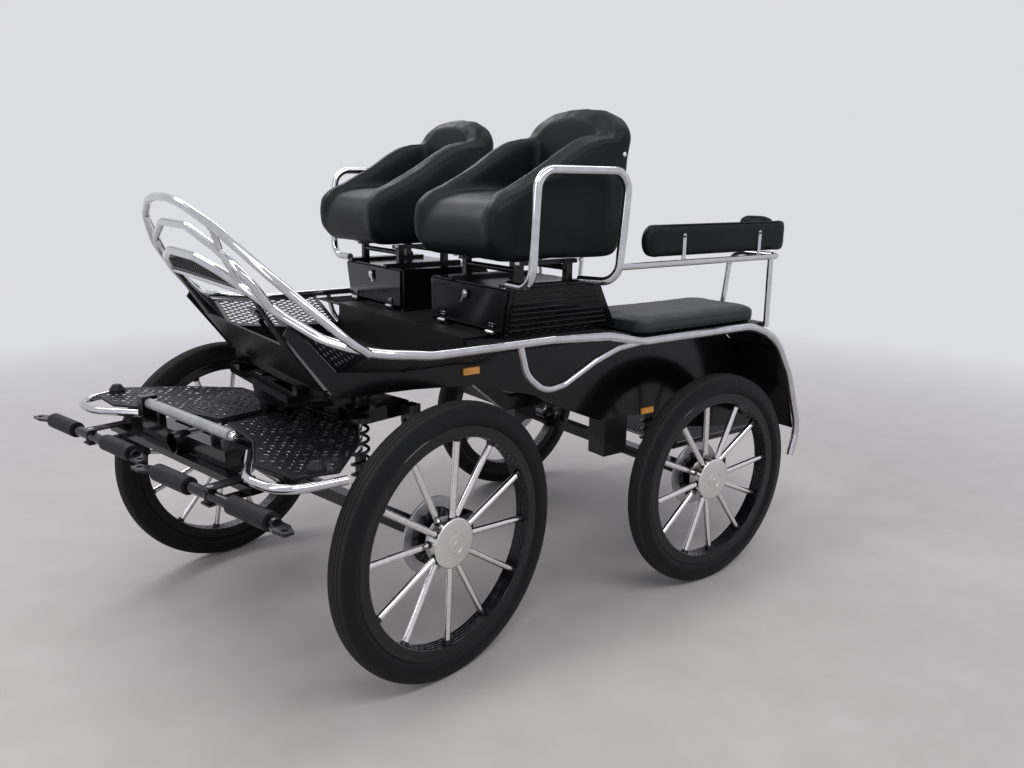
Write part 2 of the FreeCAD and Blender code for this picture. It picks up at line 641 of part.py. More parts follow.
# Side panels: gloss sheet from the dash back past the rear wheels, whose arches they close on
# the inside. The lower edge rises at the front to clear the turning wheels. Each corner is a
# pair of expressions, along and up.
decks = "(dim.floor_z + dim.deck_rise)"
fender = f"({decks} + dim.rail_rise - dim.fender_drop)"
PANEL_OUTLINE = [
    ("-440", "505"), ("-448", "549"), ("-434", "616"), ("-387", f"{fender} - 240"),
    ("-320", f"{fender} - 119"), ("-228", f"{fender} - 43"), ("-140", f"{fender} - dim.rail_r"),
    ("dim.bench_front + 40", f"{fender} - dim.rail_r"), ("dim.bench_front + 60", f"{decks} - 4"),
    ("dim.well_back - 5", f"{decks} - 4"), ("dim.well_back + 10", "dim.floor_z + 50"),
    ("dim.well_back + 232", "dim.floor_z + 50"), ("dim.well_front", "dim.floor_z + 76"),
    ("dim.well_front + 127", "dim.floor_z + 228"), ("dim.well_front + 148", "dim.floor_z + 196"),
    ("dim.well_front", "dim.floor_z - 7"), ("dim.well_back + 190", "dim.floor_z - 14"),
    ("dim.well_back - 54", "dim.floor_z - 32"), ("dim.well_back - 176", "dim.floor_z - 72"),
    ("dim.well_back - 282", "dim.floor_z - 100"), ("596", "740"), ("480", "690"), ("407", "662"),
    ("202", "652"), ("140", "640"), ("100", "585"), ("-146", "546"),
]
panel = padded_plate("panel_left", "XZ_Plane", PANEL_OUTLINE, "dim.panel_thick",
                     Placement(Vector(0, d.panel_y - d.panel_thick / 2, 0), Rotation()))
other_panel = doc.addObject("Part::Mirroring", "panel_right")
other_panel.Source = panel
other_panel.Normal = Vector(0, 1, 0)
panels = doc.addObject("Part::Compound", "side_panels")
panels.Links = [panel, other_panel]
doc.recompute()
keep(panels, "side_panels")
left_panel = panel.Shape

inner_y = d.panel_y - d.panel_thick
floor_under = d.floor_z - d.panel_thick
well_z = d.chassis_low + d.chassis_tall
shelf_top = locker_bottom
riser_x = d.bench_front + 2
floor_shapes = [
    block(d.well_back, d.well_front, -inner_y, inner_y, floor_under, d.floor_z),
    block(d.well_back, d.well_back + 4, -inner_y, inner_y, floor_under, shelf_top),
    block(riser_x, d.well_back + 4, -inner_y, inner_y, shelf_top - 4, shelf_top),
    block(riser_x, riser_x + 4, -inner_y, inner_y, well_z, shelf_top),
    block(-80, riser_x + 4, -inner_y, inner_y, well_z, well_z + 4),
]
solid("floor_pan", join(floor_shapes))

# Side rails: one tube each side from the dash over the decks and down behind the rear wheel,
# with the curved trim below it. Columns: x, z.
RAIL_PATH = [(d.well_front, rail_z + 26), (d.well_back + 250, rail_z), (820, rail_z + 1),
             (d.bench_front + 150, rail_z - 16), (d.bench_front + 40, fender_z), (-140, fender_z),
             (-290, fender_z - 54), (-394, fender_z - 216), (-481, 540), (-448, 428)]
TRIM_PATH = [(940, rail_z - 4), (915, rail_z - 100), (845, rail_z - 160), (765, rail_z - 148),
             (620, rail_z - 72), (d.bench_front + 60, fender_z)]

# The dash is three bows. Each row of a path is half a bow: ahead of the footwell, off centre,
# above the side rails.
LOW_BOW = [(76, 580, 52), (149, 463, 113), (210, 395, 176), (250, 290, 222), (274, 130, 253)]
MIDDLE_BOW = [(157, 446, 120), (236, 438, 230), (268, 325, 288), (292, 130, 343)]
OUTER_BOW = [(60, 708, 66), (150, 655, 160), (220, 560, 244), (287, 368, 353), (317, 180, 408),
             (324, 60, 421)]


def dash_path(rows):
    return [(d.well_front + x, y, rail_z + z) for x, y, z in rows]


half_rail = [(x, d.rail_y, z) for x, z in reversed(RAIL_PATH)] + dash_path(LOW_BOW)


def whole(half):
    """Half a path and its mirror image."""
    return half + [(x, -y, z) for x, y, z in reversed(half)]


rail_bend = 260
rail_line = bent_path(whole(half_rail), rail_bend)
rail = bent_tube(whole(half_rail), rail_bend, d.rail_r)
trim = bent_tube([(x, d.rail_y, z) for x, z in TRIM_PATH], 90, d.trim_r)
main_rail = join([rail, trim, mirrored(trim)])
solid("main_rail", main_rail)

# Decks: mesh strips beside the lockers, and sloped mesh sides to the footwell.
deck_front = d.well_back + 10
rise_x = d.well_back + 232
deck = block(d.bench_front + 60, deck_front, inner_y, d.rail_y, deck_z - 4, deck_z)
cleats = [block(x, x + 16, d.rail_y - 8, d.rail_y + 8, deck_z - 4, rail_z - 8)
          for x in (d.bench_front + 190, d.bench_front + 350, deck_front - 40)]
solid("deck_mesh", pair(join([deck] + cleats).cut(main_rail)))
side_low = d.floor_z + 50
flat_side = plate([(deck_front, d.rail_y, rail_z), (rise_x, d.rail_y, rail_z),
                   (rise_x, d.panel_y, side_low), (deck_front, d.panel_y, side_low)],
                  d.plate_thick)
slope = (rail_z - side_low) / (d.rail_y - d.panel_y)
front_in = 22
rising_side = plate([(rise_x, d.rail_y, rail_z),
                     (d.well_front, d.rail_y - front_in, rail_z + 26 - slope * front_in),
                     (d.well_front, d.panel_y, side_low + 26), (rise_x, d.panel_y, side_low)],
                    d.plate_thick)
front_corner = plate([(d.well_front, d.rail_y - front_in - 4,
                       rail_z + 26 - slope * (front_in + 4)),
                      (d.well_front + 134, d.panel_y, side_low + 190),
                      (d.well_front, d.panel_y, side_low + 26)], d.plate_thick)
mesh_side = join([flat_side, rising_side, front_corner]).cut(main_rail).cut(left_panel)
solid("footwell_mesh", pair(mesh_side.cut(deck)))

# Mudguards over the rear wheels: a rolled sheet under each side rail.
FENDER_PATH = [(d.bench_front + 38, fender_z), (-140, fender_z), (-290, fender_z - 54),
               (-394, fender_z - 216), (-462, 550)]
fender_line = bent_path([(x, d.panel_y, z) for x, z in FENDER_PATH], 260)
fender_top = fender_line.makeOffset2D(d.rail_r - 2, openResult=True)
fender_face = fender_top.makeOffset2D(d.plate_thick, fill=True, openResult=True)
mudguard = fender_face.extrude(Vector(0, d.rail_y - d.panel_y, 0))
mudguard = mudguard.cut(main_rail)
solid("mudguards", pair(mudguard))

# ---------------------------------------------------------------- dash

# Two more bows above the side rails' own, with short struts between them and a bar across.
# Columns of the struts: ahead of the footwell, off centre, above the side rails.


def foot_on(line, point):
    """The place on a line nearest to a point."""
    spot = line.distToShape(Part.Vertex(Vector(*point)))[1][0][0]
    return (spot.x, spot.y, spot.z)


STRUTS = [(287, 368, 350), (257, 358, 267), (220, 372, 184)]
bar_r = 9
outer_half = [(d.well_front, d.rail_y, rail_z + 26)] + dash_path(OUTER_BOW)
middle_half = dash_path(MIDDLE_BOW)
middle_half[0] = foot_on(rail_line, middle_half[0])
outer_line = bent_path(whole(outer_half), 400)
middle_line = bent_path(whole(middle_half), 200)
bar_at = foot_on(rail_line, dash_path([(202, 400, 164)])[0])
dash_parts = [bent_tube(whole(middle_half), 200, d.bow_r), bent_tube(whole(outer_half), 400, d.bow_r)]
strut_ends = [foot_on(line, place)
              for line, place in zip((outer_line, middle_line, rail_line), dash_path(STRUTS))]
for side in (1, -1):
    ends = [(x, side * y, z) for x, y, z in strut_ends]
    dash_parts.append(rod(ends[0], ends[1], bar_r))
    dash_parts.append(rod(ends[1], ends[2], bar_r))
dash_parts.append(rod((bar_at[0], -bar_at[1], bar_at[2]), bar_at, bar_r))
dash_solids = [part_of_bow.cut(main_rail) for part_of_bow in dash_parts]
dash = join(dash_solids[:2])
for piece in dash_solids[2:]:
    dash = dash.fuse(piece)
solid("dash_bows", dash)

# Mesh panel from the bar up to the lowest bow. Columns: ahead of the footwell, off centre.
MESH_EDGE = [(206, 394), (250, 289), (272, 125)]
mesh_slope = 1.27
mesh_corners = [(d.well_front + x, y, bar_at[2] + (d.well_front + x - bar_at[0]) * mesh_slope)
                for x, y in MESH_EDGE + [(x, -y) for x, y in reversed(MESH_EDGE)]]
dash_panel = plate(mesh_corners, d.plate_thick).cut(dash).cut(main_rail)
solid("dash_mesh", dash_panel)

# Toe board rising from the floor's front edge, with two arms up to the bar.
toe_half = 400
toe_low = d.floor_z - 2
toe_x = d.well_front + 105
toe_high = toe_low + 150
toe = plate([(d.well_front, -toe_half, toe_low), (d.well_front, toe_half, toe_low),
             (toe_x, toe_half, toe_high), (toe_x, -toe_half, toe_high)], d.panel_thick)
toe_parts = [toe]
for side in (1, -1):
    toe_parts.append(plate([(toe_x - 14, side * toe_half, toe_high - 20),
                            (toe_x - 14, side * (toe_half - 60), toe_high - 20),
                            (bar_at[0], side * (toe_half - 30), bar_at[2]),
                            (bar_at[0], side * toe_half, bar_at[2])], d.panel_thick))
toe_parts.append(block(d.well_front - 10, d.well_front + 6, -toe_half, toe_half, d.floor_z - 30,
                       d.floor_z + 4))
solid("toe_board", join(toe_parts).cut(dash).cut(main_rail).cut(join(floor_shapes))
      .cut(panels.Shape).cut(frame_solid))

# Brake pedal: a bent lever with a foot pad, on the driver's right.
pedal_x = d.well_front - 140
pedal_y = -330
pedal = bent_tube([(pedal_x, pedal_y, d.floor_z), (pedal_x + 40, pedal_y, d.floor_z + 60),
                   (pedal_x + 72, pedal_y, d.floor_z + 110)], 40, 9)
pad_plate = plate([(pedal_x + 52, pedal_y - 45, d.floor_z + 110),
                   (pedal_x + 52, pedal_y + 45, d.floor_z + 110),
                   (pedal_x + 98, pedal_y + 45, d.floor_z + 158),
                   (pedal_x + 98, pedal_y - 45, d.floor_z + 158)], 8)
solid("brake_pedal", join([pedal, pad_plate]).cut(join(floor_shapes)))

# ---------------------------------------------------------------- lockers under the seats


def frustum(low_rect, low_z, high_rect, high_z):
    """Solid between two level rectangles of (x0, x1, y0, y1)."""
    wires = []
    for (x0, x1, y0, y1), z in ((low_rect, low_z), (high_rect, high_z)):
        at = [Vector(x0, y0, z), Vector(x1, y0, z), Vector(x1, y1, z), Vector(x0, y1, z)]
        wires.append(Part.makePolygon(at + [at[0]]))
    return Part.makeLoft(wires, True, True)


box_front = d.locker_front - d.door_thick - 2
w = d.locker_wall
outer = frustum((d.locker_back_low, box_front, d.locker_in_low, d.locker_out_low), locker_bottom,
                (d.locker_back, box_front, d.locker_in, d.locker_out), locker_top)
inner = frustum((d.locker_back_low + w, box_front + 1, d.locker_in_low + w, d.locker_out_low - w),
                locker_bottom + w, (d.locker_back + w, box_front + 1, d.locker_in + w,
                                      d.locker_out - w), locker_top - w)
hinge_x = d.locker_front + d.hinge_r
hinge_z = locker_bottom + 14
HINGES = (d.locker_in_low + 67, d.locker_out_low - 67)
pin_r = d.hinge_r * 0.5
locker = outer.cut(inner)
lugs = []
for y in HINGES:
    for start in (y - 14, y + 34):
        lugs.append(rod((hinge_x, start, hinge_z), (hinge_x, start + 10, hinge_z), d.hinge_r))
        lugs.append(block(box_front - 2, hinge_x, start, start + 10, locker_bottom,
                          hinge_z - 2))
    lugs.append(rod((hinge_x, y - 8, hinge_z), (hinge_x, y + 38, hinge_z), pin_r))
locker = join([locker] + lugs)

slant_in = (d.locker_in_low - d.locker_in) / (locker_top - locker_bottom)
slant_out = (d.locker_out - d.locker_out_low) / (locker_top - locker_bottom)


def door_edge(z):
    """Inner and outer edge of the flap at a height."""
    rise = z - locker_bottom
    return (d.locker_in_low - slant_in * rise + d.door_gap,
            d.locker_out_low + slant_out * rise - d.door_gap)


z0 = hinge_z + d.hinge_r + 1
z1 = locker_top - d.door_gap
in0, out0 = door_edge(z0)
in1, out1 = door_edge(z1)
face = [Vector(d.locker_front, in0, z0), Vector(d.locker_front, out0, z0),
        Vector(d.locker_front, out1, z1), Vector(d.locker_front, in1, z1)]
flap = Part.Face(Part.makePolygon(face + [face[0]])).extrude(Vector(-d.door_thick, 0, 0))
door_shapes = [flap]
for y in HINGES:
    barrel = rod((hinge_x, y - 3.5, hinge_z), (hinge_x, y + 33.5, hinge_z), d.hinge_r)
    leaf = block(d.locker_front - 2, d.locker_front + 3, y - 3.5, y + 33.5, hinge_z, z0 + 22)
    hole = rod((hinge_x, y - 5, hinge_z), (hinge_x, y + 40, hinge_z), pin_r + d.bearing_gap)
    door_shapes.append(barrel.fuse(leaf).cut(hole))
latch_y = (in1 + out1) / 2
door_shapes.append(block(d.locker_front - 2, d.locker_front + 7, latch_y - 18, latch_y + 18,
                         z1 - 46, z1 - 14))
door = join(door_shapes)
for name, side in SIDES:
    solid(f"locker_{name}", locker if side > 0 else mirrored(locker))
    solid(f"locker_flap_{name}", door if side > 0 else mirrored(door))

# ---------------------------------------------------------------- seats

# Seat runners: two rails under each seat on short posts, with a cross tube at each end.
RUNNER_HALF = 150
RUNNER_SIDE = 12
POSTS = (620, 820)
runners = []
for side in (1, -1):
    rails = []
    middle = side * d.seat_y
    for y in (middle - RUNNER_HALF, middle + RUNNER_HALF):
        right, left = y - RUNNER_SIDE, y + RUNNER_SIDE
        rails.append(block(POSTS[0] - 60, POSTS[1] + 80, right, left, locker_top,
                           locker_top + 12))
        rails.append(block(POSTS[0] - 20, POSTS[1] + 40, right, left, seat_under - 14,
                           seat_under))
        for x in POSTS:
            rails.append(block(x, x + 24, right, left, locker_top, seat_under))
    for x in POSTS:
        rails.append(rod((x + 12, middle - RUNNER_HALF, seat_under - 30),
                         (x + 12, middle + RUNNER_HALF, seat_under - 30), 10))
    runners.append(join(rails))
solid("seat_runners", Part.makeCompound(runners))

# Bucket seats: a fat bolster each side falls in a straight line from the shoulders to the front
# of a deep squab, and the backrest between them ends in a full-width arch. Columns: x, z.
seat_low = seat_under + d.soft_gap
shoulder = seat_under + d.seat_tall
bottom_back = d.seat_back + d.seat_rake
BOLSTER = [(bottom_back, seat_low), (d.seat_front, seat_low), (d.seat_front + 20, seat_low + 158),
           (d.seat_front - 42, seat_low + 222), (d.seat_back + 126, shoulder - 4),
           (d.seat_back + 52, shoulder + 12), (d.seat_back, shoulder - 2)]
SQUAB = [(bottom_back + 40, seat_low + 4), (d.seat_front - 4, seat_low + 4),
         (d.seat_front + 8, seat_low + 90), (d.seat_front - 62, seat_low + 160),
         (bottom_back + 40, seat_low + 128)]
half = d.seat_width / 2
back_half = half - 5
arch = 100
spring_line = d.head_tall - arch


def back_at(y, height):
    """A place on the raked back plane."""
    lean = d.seat_rake * (1 - height / d.seat_tall)
    return Vector(d.seat_back + lean, y, seat_low + height)


for name, side in SIDES:
    y = side * d.seat_y
    left = y + back_half
    right = y - back_half
    inner_half = half - d.bolster + d.soft_gap
    bolsters = [soft_sheet(BOLSTER, y - half, y - half + d.bolster, 70, d.bolster * 0.44),
                soft_sheet(BOLSTER, y + half - d.bolster, y + half, 70, d.bolster * 0.44)]
    squab = rounded_face([(x, y - inner_half, z) for x, z in SQUAB], 50)
    squab = squab.extrude(Vector(0, 2 * inner_half, 0))

    oval = Part.Ellipse(back_at(left, spring_line), back_at(y, spring_line + arch),
                        back_at(y, spring_line))
    edges = [Part.ArcOfEllipse(oval, 0, math.pi).toShape(),
             Part.LineSegment(back_at(right, spring_line), back_at(right, 4)).toShape(),
             Part.LineSegment(back_at(right, 4), back_at(left, 4)).toShape(),
             Part.LineSegment(back_at(left, 4), back_at(left, spring_line)).toShape()]
    back = Part.Face(Part.Wire(edges)).extrude(Vector(d.back_thick, 0, 0))
    solid(f"seat_{name}", join([squab, back] + bolsters))

# Arm loops: a bent tube outboard of each seat, both feet on the locker beside the outer runner.
foot_z = locker_top + d.rail_r
foot_y = d.seat_y + RUNNER_HALF + RUNNER_SIDE + d.rail_r + 1
arm_y = d.rail_y
ARM_PATH = [(890, foot_y, foot_z), (901, arm_y, foot_z), (882, arm_y, arm_top),
            (518, arm_y, arm_top), (554, arm_y, foot_z), (605, foot_y, foot_z)]
arm_loop = bent_tube(ARM_PATH, 62, d.rail_r)
solid("arm_loops", pair(arm_loop))

# ---------------------------------------------------------------- rear benches

bench_z = fender_z - d.rail_r + 2
bench = block(d.bench_back, d.bench_front, d.bench_in, d.rail_y - d.rail_r - 2, bench_z,
              bench_z + 18)
cushion_low = bench_z + 18 + d.soft_gap
cushion = rounded_face([(d.bench_back, d.bench_in, cushion_low),
                        (d.bench_front, d.bench_in, cushion_low),
                        (d.bench_front, d.bench_out, cushion_low),
                        (d.bench_back, d.bench_out, cushion_low)], d.pad_corner)
cushion = cushion.extrude(Vector(0, 0, d.cushion_thick))
solid("bench_decks", pair(bench.cut(main_rail).cut(mudguard).cut(left_panel)))

post_y = d.panel_y - d.panel_thick - 25
rest_run = bent_tube([(546, arm_y, rest_z), (d.rest_back, arm_y, rest_z),
                      (d.rest_back, post_y + 10, rest_z), (d.rest_back + 30, post_y, bench_z - 20)],
                     60, d.trim_r)
post = rod((d.bench_back + 17, arm_y, rest_z), (d.bench_back + 12, arm_y, fender_z - 28), d.trim_r)
PAD_BRACKETS = (243, -156)
pad_y = arm_y - d.trim_r
straps = [block(x - 8, x + 8, pad_y, pad_y + 5, rest_z, rest_z + 100) for x in PAD_BRACKETS]
post_foot = rod((d.rest_back + 30, post_y, bench_z - 24), (d.rest_back + 30, post_y, bench_z - 18),
                24)
foot_arm = block(d.rest_back + 20, d.bench_back + 30, post_y - 22, post_y + 22, bench_z - 6,
                 bench_z)
rest_frame = join([rest_run, post, foot_arm] + straps)
rest_frame = rest_frame.cut(arm_loop).cut(main_rail).cut(bench).cut(mudguard)
solid("rest_rails", pair(rest_frame))
pad_low = rest_z + d.trim_r + d.soft_gap
pad_high = rest_z + d.trim_r + d.rest_pad_height
pad_rear = d.rest_back - 35
long_pad = rounded_face([(pad_rear, pad_y - d.soft_gap, pad_low),
                         (pad_rear + d.rest_pad_length, pad_y - d.soft_gap, pad_low),
                         (pad_rear + d.rest_pad_length, pad_y - d.soft_gap, pad_high),
                         (pad_rear, pad_y - d.soft_gap, pad_high)], d.pad_corner)
long_pad = long_pad.extrude(Vector(0, -d.rest_pad_thick, 0))
end_out = pad_y - d.rest_pad_thick - 8
end_pad = rounded_face([(pad_rear, 478, pad_low), (pad_rear, end_out, pad_low),
                        (pad_rear, end_out, pad_high + 8), (pad_rear, 478, pad_high + 8)],
                       d.pad_corner)
end_pad = end_pad.extrude(Vector(42, 0, 0))
for name, side in SIDES:
    solid(f"bench_cushion_{name}", cushion if side > 0 else mirrored(cushion))
solid("rest_pads", pair(long_pad))
solid("end_pads", pair(end_pad))

# ---------------------------------------------------------------- rear platform

half = d.platform_half
edge_r = 12
edge_y = half - edge_r
edge_z = d.platform_z - d.plate_thick / 2
edge_back = d.platform_back + edge_r
hoop = bent_tube([(d.platform_front, -edge_y, edge_z), (edge_back, -edge_y, edge_z),
                  (edge_back, edge_y, edge_z), (d.platform_front, edge_y, edge_z)], 60, edge_r)
hangers = [hoop]
for side in (1, -1):
    for x in (-280, d.platform_front - edge_r):
        hangers.append(rod((x, side * edge_y, edge_z), (x, side * edge_y, d.chassis_low + 20),
                           edge_r))
    hangers.append(block(-300, d.platform_front, side * (d.chassis_y + d.chassis_wide / 2),
                         side * half, d.chassis_low + 6, d.chassis_low + 36))
platform_frame = join(hangers)
solid("platform_frame", platform_frame)
corner = 40
inside = [(d.platform_front, -edge_y), (edge_back + corner, -edge_y), (edge_back, -edge_y + corner),
          (edge_back, edge_y - corner), (edge_back + corner, edge_y), (d.platform_front, edge_y)]
platform = plate([(x, y, d.platform_z) for x, y in inside], d.plate_thick)
solid("platform_mesh", platform.cut(platform_frame))

# Amber reflectors on the side panels. Columns: x, z.
REFLECTORS = [(d.well_back - 17, d.floor_z + 20), (166, 664)]
lamp = [block(x - 30, x + 30, d.panel_y, d.panel_y + 9, z - 11, z + 11) for x, z in REFLECTORS]
solid("side_reflectors", pair(Part.makeCompound(lamp)))

# ---------------------------------------------------------------- finish

doc.recompute()
for thing in doc.Objects:
    if "Invalid" in thing.State or "Error" in thing.State:
        raise RuntimeError(f"{thing.Label} failed: {thing.State}")
for piece in parts:
    if piece.Shape.isNull() or not piece.Shape.isValid():
        raise RuntimeError(f"{piece.Label} has a bad shape")

# The datum moves to the middle of the outline on the floor.
extent = FreeCAD.BoundBox()
for piece in parts:
    extent.add(piece.Shape.optimalBoundingBox(False, False))
middle = Vector(extent.Center.x, extent.Center.y, extent.ZMin)
for piece in parts:
    piece.Placement = Placement(middle * -1, Rotation()).multiply(piece.Placement)
doc.recompute()
print("datum moved by", [round(value, 4) for value in middle * -1])
print("overall size", round(extent.XLength, 1), round(extent.YLength, 1),
      round(extent.ZLength, 1))

os.makedirs("parts", exist_ok=True)
for piece in parts:
    piece.Shape.exportStep(f"parts/{piece.Label}.step")
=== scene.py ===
"""The carriage's looks, piece by piece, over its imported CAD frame."""

import json
import math

import bmesh
import bpy
from mathutils import Matrix, Vector
from mathutils.bvhtree import BVHTree


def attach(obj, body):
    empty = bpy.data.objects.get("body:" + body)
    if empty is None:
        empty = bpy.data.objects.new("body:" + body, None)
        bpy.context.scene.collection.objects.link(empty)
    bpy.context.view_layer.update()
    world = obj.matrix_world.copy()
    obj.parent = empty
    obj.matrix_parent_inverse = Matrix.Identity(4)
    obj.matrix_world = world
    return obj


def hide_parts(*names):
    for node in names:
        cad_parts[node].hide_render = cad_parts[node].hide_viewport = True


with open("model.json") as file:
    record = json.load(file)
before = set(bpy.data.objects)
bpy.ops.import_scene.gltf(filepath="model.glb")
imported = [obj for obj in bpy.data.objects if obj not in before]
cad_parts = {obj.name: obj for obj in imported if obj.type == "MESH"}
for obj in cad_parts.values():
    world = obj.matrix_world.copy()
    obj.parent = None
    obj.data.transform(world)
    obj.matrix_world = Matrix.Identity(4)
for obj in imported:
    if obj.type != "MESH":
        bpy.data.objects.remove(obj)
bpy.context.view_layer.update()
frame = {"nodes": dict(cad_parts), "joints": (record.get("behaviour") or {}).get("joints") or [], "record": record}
nodes = frame["nodes"]

# ---------------------------------------------------------------- camera
# A hand-held camera at a standing person's eye level, ahead of the left front wheel. Its place,
# like the carriage's own measures, is from the floor under the middle of the rear axle.
joints = {joint["name"]: joint for joint in frame["joints"]}
left_hub = Vector(joints["rear_left_wheel_spin"]["pos_m"])
right_hub = Vector(joints["rear_right_wheel_spin"]["pos_m"])
DATUM = Vector(((left_hub.x + right_hub.x) / 2, (left_hub.y + right_hub.y) / 2, 0))
EYE = Vector((2.4159, 2.6856, 1.5210))
EYE_TURN = (-126.057, -13.724, 0.555)
eye = bpy.data.cameras.new("eye")
eye_object = bpy.data.objects.new("eye", eye)
bpy.context.scene.collection.objects.link(eye_object)
bpy.context.scene.camera = eye_object
eye.sensor_width = 36.0
eye.lens = 29.47
eye.clip_end = 60
yaw, pitch, roll = (math.radians(angle) for angle in EYE_TURN)
ahead = Vector((math.cos(pitch) * math.cos(yaw), math.cos(pitch) * math.sin(yaw), math.sin(pitch)))
right = ahead.cross(Vector((0, 0, 1))).normalized()
up = right.cross(ahead)
right, up = (right * math.cos(roll) + up * math.sin(roll),
             up * math.cos(roll) - right * math.sin(roll))
turn = Matrix((right, up, -ahead)).transposed().to_4x4()
eye_object.matrix_world = Matrix.Translation(DATUM + EYE) @ turn


# ---------------------------------------------------------------- floor and light
# A sealed concrete floor that fades into a pale hall, under rows of large soft ceiling lights.
def add_node(tree, kind, settings=None, **values):
    """A node of a kind: settings first, then its inputs by name, or by number as i0, i1."""
    node = tree.nodes.new(kind)
    for key, value in (settings or {}).items():
        setattr(node, key, value)
    for key, value in values.items():
        numbered = key[0] == "i" and key[1:].isdigit()
        slot = node.inputs[int(key[1:])] if numbered else node.inputs[key.replace("_", " ")]
        for one in value if isinstance(value, list) else [value]:
            one = one.socket if isinstance(one, Link) else one
            if isinstance(one, bpy.types.NodeSocket):
                tree.links.new(one, slot)
            else:
                slot.default_value = one
    return node


class Link:
    """A shader socket that takes part in sums."""

    def __init__(self, tree, socket):
        self.tree = tree
        self.socket = socket

    def _sum(self, operation, first, second):
        node = add_node(self.tree, "ShaderNodeMath", {"operation": operation}, i0=first, i1=second)
        return Link(self.tree, node.outputs[0])

    def __add__(self, other):
        return self._sum("ADD", self, other)

    def __radd__(self, other):
        return self._sum("ADD", other, self)

    def __mul__(self, other):
        return self._sum("MULTIPLY", self, other)

    def __rmul__(self, other):
        return self._sum("MULTIPLY", other, self)

    def over(self, edge):
        """1 where the value is over an edge."""
        return self._sum("GREATER_THAN", self, edge)

    def wave(self):
        return self._sum("SINE", self, 0)


class Finish:
    """A material under construction: its tree, its shader and quick ways to add nodes."""

    def __init__(self, name, color, roughness, metallic=0.0, coat=0.0, gloss=0.5):
        self.material = bpy.data.materials.new(name)
        self.material.use_nodes = True
        self.tree = self.material.node_tree
        self.shader = self.tree.nodes["Principled BSDF"]
        self.shader.inputs["Base Color"].default_value = (*color, 1)
        self.shader.inputs["Roughness"].default_value = roughness
        self.shader.inputs["Metallic"].default_value = metallic
        self.shader.inputs["Specular IOR Level"].default_value = gloss
        self.shader.inputs["Coat Weight"].default_value = coat
        self.shader.inputs["Coat Roughness"].default_value = 0.05

    def add(self, kind, settings=None, out=0, **values):
        node = add_node(self.tree, "ShaderNode" + kind, settings, **values)
        return Link(self.tree, node.outputs[out])

    def place(self):
        """Object coordinates, so that a pattern stays with its piece."""
        return self.add("TexCoord", out=3)

    def axes(self):
        """The three coordinates of a place, one by one."""
        node = add_node(self.tree, "ShaderNodeSeparateXYZ", i0=self.place())
        return [Link(self.tree, out) for out in node.outputs]

    def noise(self, scale, detail=3.0, vector=None):
        return self.add("TexNoise", Vector=vector or self.place(), Scale=scale, Detail=detail)

    def ramp(self, value, *stops):
        """Colours by value, from stops of (value, colour)."""
        node = add_node(self.tree, "ShaderNodeValToRGB", i0=value)
        ramp = node.color_ramp
        while len(ramp.elements) < len(stops):
            ramp.elements.new(0.5)
        for element, (where, color) in zip(ramp.elements, stops):
            element.position = where
            element.color = (*color, 1)
        return Link(self.tree, node.outputs[0])

    def feed(self, name, value):
        self.tree.links.new(value.socket, self.shader.inputs[name])

    def bump(self, height, strength, distance=0.001):
        self.feed("Normal", self.add("Bump", Height=height, Strength=strength, Distance=distance))


HALL = (0.725, 0.72, 0.775, 1)
AIM = Vector((0, 0, 0.6))
concrete = Finish("sealed_concrete", (0.42, 0.40, 0.38), 0.5, gloss=0.3)
patches = concrete.noise(1.3, 6) * 0.6 + concrete.noise(5.5, 5) * 0.4
concrete.feed("Base Color", concrete.ramp(patches, (0.36, (0.475, 0.450, 0.440)),
                                          (0.5, (0.505, 0.480, 0.470)), (0.64, (0.535, 0.510, 0.500))))
concrete.bump(concrete.noise(45, 5), 0.12)
spread = concrete.add("VectorMath", {"operation": "LENGTH"}, out=1, i0=concrete.place())
fade = concrete.ramp(spread * 0.1, (0.24, (0, 0, 0)), (0.62, (1, 1, 1)))
hall_glow = concrete.add("Emission", Color=HALL, Strength=1.0)
blend = concrete.add("MixShader", Fac=fade, i1=concrete.shader.outputs[0], i2=hall_glow)
surface_slot = concrete.tree.nodes["Material Output"].inputs["Surface"]
concrete.tree.links.new(blend.socket, surface_slot)
bpy.ops.mesh.primitive_plane_add(size=60, location=(0, 0, 0))
floor = bpy.context.object
floor.name = "hall_floor"
floor.data.materials.append(concrete.material)

world = bpy.data.worlds.new("hall")
bpy.context.scene.world = world
world.use_nodes = True
sky = world.node_tree
ambient = sky.nodes["Background"]
ambient.inputs["Color"].default_value = (0.80, 0.82, 0.87, 1)
ambient.inputs["Strength"].default_value = 0.62
seen = add_node(sky, "ShaderNodeBackground", Color=HALL, Strength=1.0)
rays = add_node(sky, "ShaderNodeLightPath")
camera_ray, glossy_ray, through_ray = (Link(sky, rays.outputs[f"Is {kind} Ray"])
                                       for kind in ("Camera", "Glossy", "Transmission"))
choice = add_node(sky, "ShaderNodeMixShader", Fac=(camera_ray + glossy_ray + through_ray).over(0.5),
                  i1=ambient.outputs[0], i2=seen.outputs[0])
sky.links.new(choice.outputs[0], sky.nodes["World Output"].inputs["Surface"])
